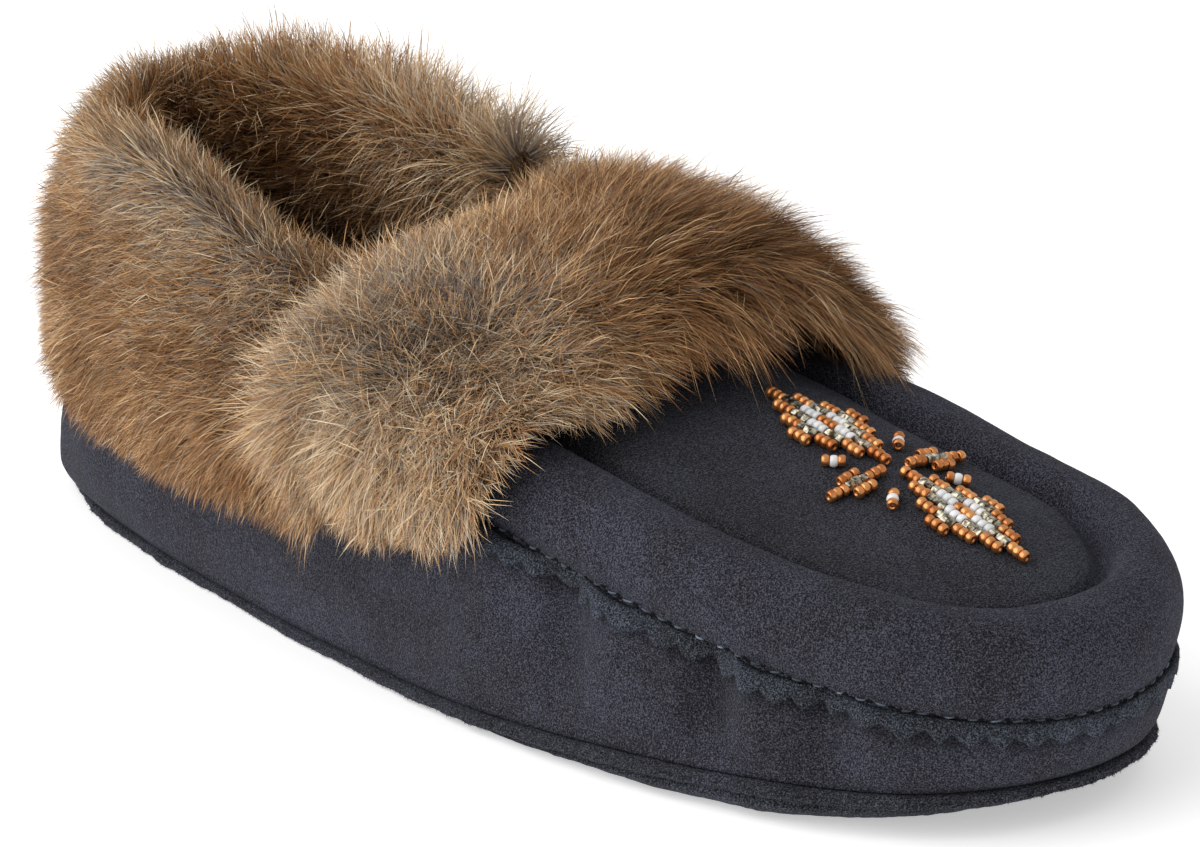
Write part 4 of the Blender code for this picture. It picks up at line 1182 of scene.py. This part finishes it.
def build_collar():
    """The collar's fur: its grid's columns cross the rim at CREST, and its rows end at the medial front."""
    pelt, full = collar_grids((0.30, 1.0))
    rows, columns = pelt.shape[:2]
    # the rim is higher on the medial side, most of all near the flap, and lower at the lateral back and front
    x, y = pelt[:, :, 0], pelt[:, :, 1]
    medial = ramp(x, -20.0, 8.0)
    lift = medial * (3.2 + 5.0 * ramp(-y, -105.0, -50.0) + 2.6 * ramp(-y, -50.0, -26.0)
                     - 2.0 * ramp(y, 92.0, 125.0))
    lift -= (6.0 * ramp(y, 76.0, 112.0) + 5.0 * ramp(-y, -70.0, -32.0)) * (1 - medial)
    lift = bell(np.arange(columns)[None, :] - CREST, 8.0) * lift
    for grid in (pelt, full):
        grid[:, :, 2] += lift
    out = patch_normals(pelt)
    build_pelt("fur_collar", pelt, out, pelt - 2.2 * out, 61)
    depth = np.linalg.norm(full - pelt, axis=2)
    section = unit(np.gradient(pelt, axis=1))
    ring = unit(np.gradient(pelt, axis=0))
    for kind, count in COLLAR_HAIRS.items():
        r, c = scatter(pelt, count)
        p, n, h = sample(pelt, r, c), unit(sample(out, r, c)), sample(depth, r, c)
        low, along = -sample(section, r, c), sample(ring, r, c)
        x, y = p[:, 0], p[:, 1]
        # the lie: up the inside, over the rim, down and backward on the outside, and forward at both ends
        outer = 1 - ramp(c, CREST - 4, CREST + 4)
        climb = np.clip(c / CREST, 0, 1)
        backward = -np.clip((x - AXIS_X) / 18.0, -1, 1)
        sideways = backward * (0.15 + 0.85 * climb) * (0.35 + 0.65 * outer) + 0.5 * value_noise(p, 22.0, 62)
        turn = ramp(r, rows - 26.0, rows - 5.0)
        sideways += 1.2 * turn - 0.7 * (1 - ramp(r, 0.0, 12.0))
        f = low * ((1 - 0.55 * climb * outer) * (1 - 0.85 * turn))[:, None] + along * sideways[:, None]
        mess = stray(kind, count) + 0.3 * ramp(c, CREST - 4, CREST + 8)
        f = tangent(f + mess[:, None] * RNG.normal(size=(count, 3)), n)
        strength = (0.35 + 0.3 * value_noise(p, 30.0, 63)) * (1 - 0.5 * ramp(c, CREST, CREST + 8))
        f, tuft = clumped(p, f, n, strength)
        # places: along the rim, at the hem, down the inside, the medial side, the front, the heel's back
        crest = bell(c - CREST, 7.0)
        hem = 1 - ramp(c, 0.0, 7.0)
        inside = ramp(c, CREST + 3, CREST + 12)
        far = ramp(x, -28.0, -2.0)
        front = ramp(-y, -95, -50)
        back = ramp(y, 90, 116) * (1 - ramp(x, 8, 26))
        low_half, high_half = 1 - ramp(c, 6, 15), ramp(c, 11, 16) * (1 - ramp(c, 18, 22))
        pale = ramp(r, rows - 22.0, rows - 5.0) * ramp(c, CREST - 8, CREST - 2)     # wisps at the medial end
        lean = 0.80 - (0.15 + 0.2 * far) * crest - 0.2 * hem - 0.05 * inside
        lean = lean * (0.6 + 0.8 * RNG.random(count)) + 0.25 * pale
        reach = 0.78 + 0.20 * crest - 0.1 * hem + far * (0.35 * crest + 0.1 * inside + 0.3 * front * crest)
        reach = reach * h * (1 - back * (0.50 * crest + 0.60 * low_half - 0.20 * high_half))
        # the rim falls away towards the tail
        reach *= 1 - 0.30 * (1 - ramp(r, 16.0, 40.0)) * ramp(c, 16, 24)
        reach = reach * (1 + 0.16 * value_noise(p, 8.0, 68)) * (1 + 0.02 * pale) + 1.2
        shade = 0.31 + 0.09 * value_noise(p, 19.0, 65) + 0.05 * value_noise(p, 6.0, 66)
        # the last two terms are painted shade: darker down the rim's inside, darkest deep in the opening
        shade += 0.07 * crest + 0.08 * outer * ramp(y, 85, 125) - 0.10 * inside - 0.18 * ramp(c, 33, 39)
        shade += 0.15 * pale + 0.04 * crest * far
        shade += uneven(kind, tuft)
        parted = bell(c - CREST + 3, 4.5) * ramp(value_noise(p, 13.0, 67), -0.1, 0.5)
        taupe = outer * ramp(c, 8, 17) * (0.42 + 0.25 * value_noise(p, 16.0, 69))
        greyed = 0.06 + 0.7 * parted + taupe * (kind == "under") + 0.45 * pale * (kind != "guard")
        grey = RNG.random(count) < greyed
        deep = WARM + 0.18 + 0.08 * taupe + 0.10 * far + 0.10 * pale
        own = {"guard": (0.42, 0.22 + 0.16 * inside, 0.03, 0.30, 0.36),
               "under": (0.34, 0, 0, 1, 0.04),
               "fine": (0.36, 0.26, -0.10, 0.40, 0.25)}[kind]
        grow_coat("fur_collar", kind, p, n, f, reach, lean, shade, grey, own,
                  lambda draw: deep + 0.07 * draw, lambda draw: 0.05 + 0.15 * draw)


# the flap's fur

FLAP_ROWS, FLAP_COLUMNS = 44, 25
RAY = 95.0            # from the flap's axis to well outside it


def radial(angle, y, radius):
    return np.array([AXIS_X + radius * math.sin(angle), y, FLAP_AXIS_Z + radius * math.cos(angle)])


def flap_grids():
    """The flap's pelt and its fur's full reach: rows by angle, columns from the back to the front hem."""
    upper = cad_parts["upper"].data
    tree = BVHTree.FromPolygons([v.co for v in upper.vertices], [p.vertices[:] for p in upper.polygons])
    throat_y = s_to_y(THROAT_S) - 3.0

    def reach(angle, y):
        start, end = Vector(radial(angle, y, RAY)) * MM, Vector(radial(angle, y, 0.0)) * MM
        hit = tree.ray_cast(start, end - start, RAY * MM)
        return RAY - hit[3] / MM if hit[0] is not None else 0.0

    pelt, full = [], []
    for angle_deg in np.linspace(FLAP["angle"][0], FLAP["angle"][-1], FLAP_ROWS):
        angle = math.radians(angle_deg)
        get = lambda name: float(smooth(angle_deg, FLAP["angle"], FLAP[name]))
        ends = float(ramp(angle_deg, -86.0, -68.0) * ramp(-angle_deg, -84.0, -66.0))
        lines = ([], [])
        for q in np.linspace(0, 1, FLAP_COLUMNS):
            y = HEEL_Y - get("back") - (get("front") - get("back")) * q
            around = ((angle + da, min(y + dy, limit))
                      for da in (-0.05, 0.0, 0.05) for dy in (-2.2, 0.0, 2.2) for limit in (throat_y, 99.0))
            base = max(reach(*at) for at in around) + 3 * GAP
            swell = (1 - abs(2 * q - 1) ** 2.4) ** (1 / 2.4)
            crown = max(get("radius"), base + 4.0)
            low = max(base, crown - FLAP_DEPTH)
            for line, share in zip(lines, (0.34, 1.0)):
                depth = (crown - low - 2.0) * swell * (0.35 + 0.65 * ends) * share
                shrink = 3.0 * (1 - share) * (1 - 2 * q)
                line.append(radial(angle, y - shrink, low + 2.0 + depth))
        pelt.append(lines[0])
        full.append(lines[1])
    return [np.array(spline_rows(grid, [2] * (len(grid) - 1))) for grid in (np.array(pelt), np.array(full))]


FLAP_HAIRS = {"guard": 19000, "under": 37000, "fine": 28000}
WHORL = np.array((-29.0, -2.5, 62.5))     # the grey middle that the tail's hair grows away from


def build_flap():
    """The flap's fur, swept away from the tail's grey middle and forward over the instep."""
    pelt, full = flap_grids()
    columns = pelt.shape[1]
    # fuller over the instep's medial side
    lift = 1.9 * ramp(pelt[:, :, 0], -14.0, 14.0) * np.sin(np.linspace(0, math.pi, columns))[None, :] ** 0.7
    out = patch_normals(pelt)
    pelt, full = pelt + out * lift[:, :, None], full + out * lift[:, :, None]
    axis = pelt.copy()
    axis[:, :, 0], axis[:, :, 2] = AXIS_X, FLAP_AXIS_Z
    build_pelt("fur_flap", pelt, out, pelt - 1.6 * unit(pelt - axis), 71)
    depth = np.maximum(np.linalg.norm(full - pelt, axis=2), 6.5)
    for kind, count in FLAP_HAIRS.items():
        r, c = scatter(pelt, count)
        p, n, h = sample(pelt, r, c), unit(sample(out, r, c)), sample(depth, r, c)
        x, y, z = p.T
        distance = np.linalg.norm(p - WHORL, axis=1)
        tail = 1 - ramp(x, -30.0, -4.0)
        across = c / (columns - 1)
        forward = (0.1 + 0.9 * across) * ramp(distance, 18, 50) * (1 - 0.8 * tail)
        f = unit(p - WHORL) + np.array((0.0, -1.0, -0.2)) * forward[:, None]
        mess = stray(kind, count) + 0.5 * bell(distance, 16.0) + 0.15 * tail
        f = tangent(f + mess[:, None] * RNG.normal(size=(count, 3)), n)
        # places: the tail's foot, the whorl, the front hem, three reaches of the medial half, the back edge
        foot = tail * (1 - ramp(z, 30.0, 48.0))
        f, tuft = clumped(p, f, n, 0.35 + 0.75 * foot)
        near = bell(distance, 13.0)
        hem = ramp(across, 0.82, 1.0) * (1 - tail)
        far, middle, end = ramp(x, 0.0, 24.0), ramp(x, -12.0, 8.0), ramp(x, 30.0, 46.0)
        back = (0.30 * tail * (1 - foot) + 0.60 * far * ramp(z, 30.0, 60.0)) * (1 - ramp(across, 0.08, 0.32))
        lean = (0.90 + 0.30 * tail - 0.6 * near - 0.4 * foot + 0.3 * hem
                - 0.4 * far * (back > 0.2) - 0.42 * end)
        lean = lean * (0.6 + 0.8 * RNG.random(count))
        lobes = 0.26 * foot * np.cos((y + 10.0) * 2 * math.pi / 18.0)
        h = h * (1 + 0.14 * value_noise(p, 8.0, 77) + lobes)
        h *= 1 - 0.45 * foot + 0.35 * foot * ramp(y, -18.0, 4.0)
        h *= (1 + back + 0.10 * far + 0.44 * middle * hem * (1 - 0.85 * end)
              - 0.62 * far * (1 - ramp(z, 42.0, 60.0)) * ramp(across, 0.5, 0.9))
        h *= 1 + (0.34 * ramp(x, 30.0, 42.0) * ramp(z, 46.0, 58.0) * (1 - ramp(z, 64.0, 72.0))
                  * ramp(across, 0.3, 0.6))
        h *= 1 - 0.16 * ramp(-y, 20.0, 34.0) * ramp(x, 10.0, 24.0) * ramp(z, 62.0, 70.0)
        shade = 0.25 + 0.07 * value_noise(p, 15.0, 75) + 0.05 * value_noise(p, 5.0, 76)
        shade += ((0.24 - 0.13 * foot) * tail * (1 - 0.6 * near)
                  + 0.13 * (1 - ramp(across, 0.1, 0.45)) * (1 - tail))
        shade += 0.09 * ramp(x, 5.0, 30.0)
        shade += uneven(kind, tuft)
        greyed = 0.05 + 0.9 * bell(distance, 17.0) + (0.16 if kind == "guard" else 0.50) * tail
        grey = RNG.random(count) < greyed
        grey |= RNG.random(count) < 0.8 * back * far
        own = {"guard": (0.40, 0.22, 0.03, 0.45, 0.34 - 0.26 * tail),
               "under": (0.34, 0, 0, 1, 0.04),
               "fine": (0.36, 0.26, -0.08, 0.40, 0.22 - 0.15 * tail)}[kind]
        paler = 0.13 * tail * (1 - near) - 0.05 * near + 0.14 * far
        sag = (0.20 + 0.50 * middle - 0.35 * end) * hem
        grow_coat("fur_flap", kind, p, n, f, h, lean, shade, grey, own,
                  lambda draw: WARM + 0.13 + 0.06 * draw + paler,
                  lambda draw: (0.10 + 0.15 * draw) * (1 - 0.6 * foot) + sag)


# the short fuzz of raw suede edges


def fuzz_material(name):
    n = Nodes(name, Sheen_Weight=0.2, Specular_IOR_Level=0.1)
    u, v = n.own_map()
    color = n.ramp(u, (0.0, rgb(24, 25, 28)), (0.5, rgb(45, 48, 54)), (1.0, rgb(84, 89, 98)))
    rough = n.ramp(v, (0.0, 0.95), (0.5, 0.85))
    return n.finish(color, rough)


def build_fuzz(sole_rows, first, last, strip):
    """Fibres that stand out of the sole's raw edge and of the pinked strip."""
    finish = fuzz_material("suede_fuzz")
    band = np.concatenate([sole_rows[first:last], sole_rows[first:last, :1]], axis=1)
    strips = np.concatenate([strip, strip[:, :1]], axis=1)[:, 1:6]
    for name, grid, count, long, slot in (("fuzz_sole_edge", band, 18000, 0.65, "sole_suede"),
                                          ("fuzz_pinked", strips, 7000, 0.40, "suede")):
        out = patch_normals(grid)
        middle = np.array((AXIS_X, 0.0, 20.0))
        if ((grid - middle) * out * (1, 1, 0)).sum() < 0:
            out = -out
        r, c = scatter(grid, count)
        p, n = sample(grid, r, c), unit(sample(out, r, c) + 0.35 * RNG.normal(size=(count, 3)))
        f = tangent(RNG.normal(size=(count, 3)), n)
        height, lean = long * (0.3 + 0.7 * RNG.random(count)), 1.1 * RNG.random(count)
        width, tone = 0.08 + 0.07 * RNG.random(count), RNG.random(count)
        hair_mesh(name, p - 0.1 * n, n, f, height, lean, width, tone, np.zeros(count),
                  0.2 * RNG.random(count), FUZZ_SHAPE, 0.75, finish)


# ---------------------------------------------------------------- everything in place
edge, normals, grid = build_upper()
build_lining(grid)
sole_rows, edge_first, edge_last = build_sole()
build_footbed()
path = WallPath(edge, normals, grid)
strip = build_pinked(path)
build_stitches(path)
build_beads(grid)
build_collar()
build_flap()
build_fuzz(sole_rows, edge_first, edge_last, strip)

# ---------------------------------------------------------------- stage, light and camera
FLOOR_HALF, FLOOR_BELOW = 6.0, 0.00005     # metres
FLOOR_WHITE, FLOOR_GLOW, WORLD_STRENGTH = 0.86, 0.42, 0.66
# a soft light from behind the heel's lateral side
KEY_FROM, KEY_STRENGTH, KEY_ANGLE = (-0.80, 0.36, 0.48), 2.3, 85
# degrees and mm; lens, sensor and shift are the camera's own, and it turns about aim
CAMERA = {"azimuth": -40.99, "elevation": 18.99, "roll": -0.3, "distance": 1399.33,
          "aim": (AXIS_X, HEEL_Y - 131.0, 37.1), "lens": 234.0921, "sensor": 36.0, "shift": (1.0356, 0.2625)}


def build_stage():
    """A white floor that glows a little, so that it ends in white as the world behind it does."""
    n = Nodes("floor_white", Specular_IOR_Level=0.05, Roughness=0.9, Emission_Strength=FLOOR_GLOW)
    n.shader.inputs["Base Color"].default_value = (FLOOR_WHITE, FLOOR_WHITE, FLOOR_WHITE, 1)
    n.shader.inputs["Emission Color"].default_value = (1, 1, 1, 1)
    mesh = bpy.data.meshes.new("floor")
    corners = [(FLOOR_HALF * x, FLOOR_HALF * y, 0) for x, y in ((-1, -1), (1, -1), (1, 1), (-1, 1))]
    mesh.from_pydata(corners, [], [(0, 1, 2, 3)])
    mesh.materials.append(n.material)
    floor = place_object("floor", mesh)
    floor.location.z = -FLOOR_BELOW
    world = bpy.data.worlds.new("studio")
    bpy.context.scene.world = world
    world.use_nodes = True
    world.node_tree.nodes["Background"].inputs["Color"].default_value = (1, 1, 1, 1)
    world.node_tree.nodes["Background"].inputs["Strength"].default_value = WORLD_STRENGTH


def build_light():
    """A broad soft light."""
    data = bpy.data.lights.new("key", "SUN")
    data.energy, data.angle = KEY_STRENGTH, math.radians(KEY_ANGLE)
    place_object("key", data).rotation_euler = Vector(KEY_FROM).to_track_quat("Z", "Y").to_euler()


def build_camera():
    """The camera: turned by azimuth and elevation about a point above the foot's middle, then rolled."""
    a, e, r = (math.radians(CAMERA[k]) for k in ("azimuth", "elevation", "roll"))
    back = np.array([math.sin(a) * math.cos(e), -math.cos(a) * math.cos(e), math.sin(e)])
    right = np.array([math.cos(a), math.sin(a), 0.0])
    up = np.cross(back, right)
    right, up = math.cos(r) * right + math.sin(r) * up, math.cos(r) * up - math.sin(r) * right
    place = back * CAMERA["distance"] + np.array(CAMERA["aim"])
    data = bpy.data.cameras.new("camera")
    data.sensor_width = CAMERA["sensor"]
    data.lens = CAMERA["lens"]
    data.shift_x, data.shift_y = (shift / CAMERA["sensor"] for shift in CAMERA["shift"])
    data.clip_start, data.clip_end = 0.05, 30.0
    made = place_object("camera", data)
    made.matrix_world = Matrix([(right[k], up[k], back[k], place[k] * MM) for k in range(3)] + [(0, 0, 0, 1)])
    bpy.context.scene.camera = made


build_stage()
build_light()
build_camera()
bpy.context.scene.view_settings.view_transform = "Standard"
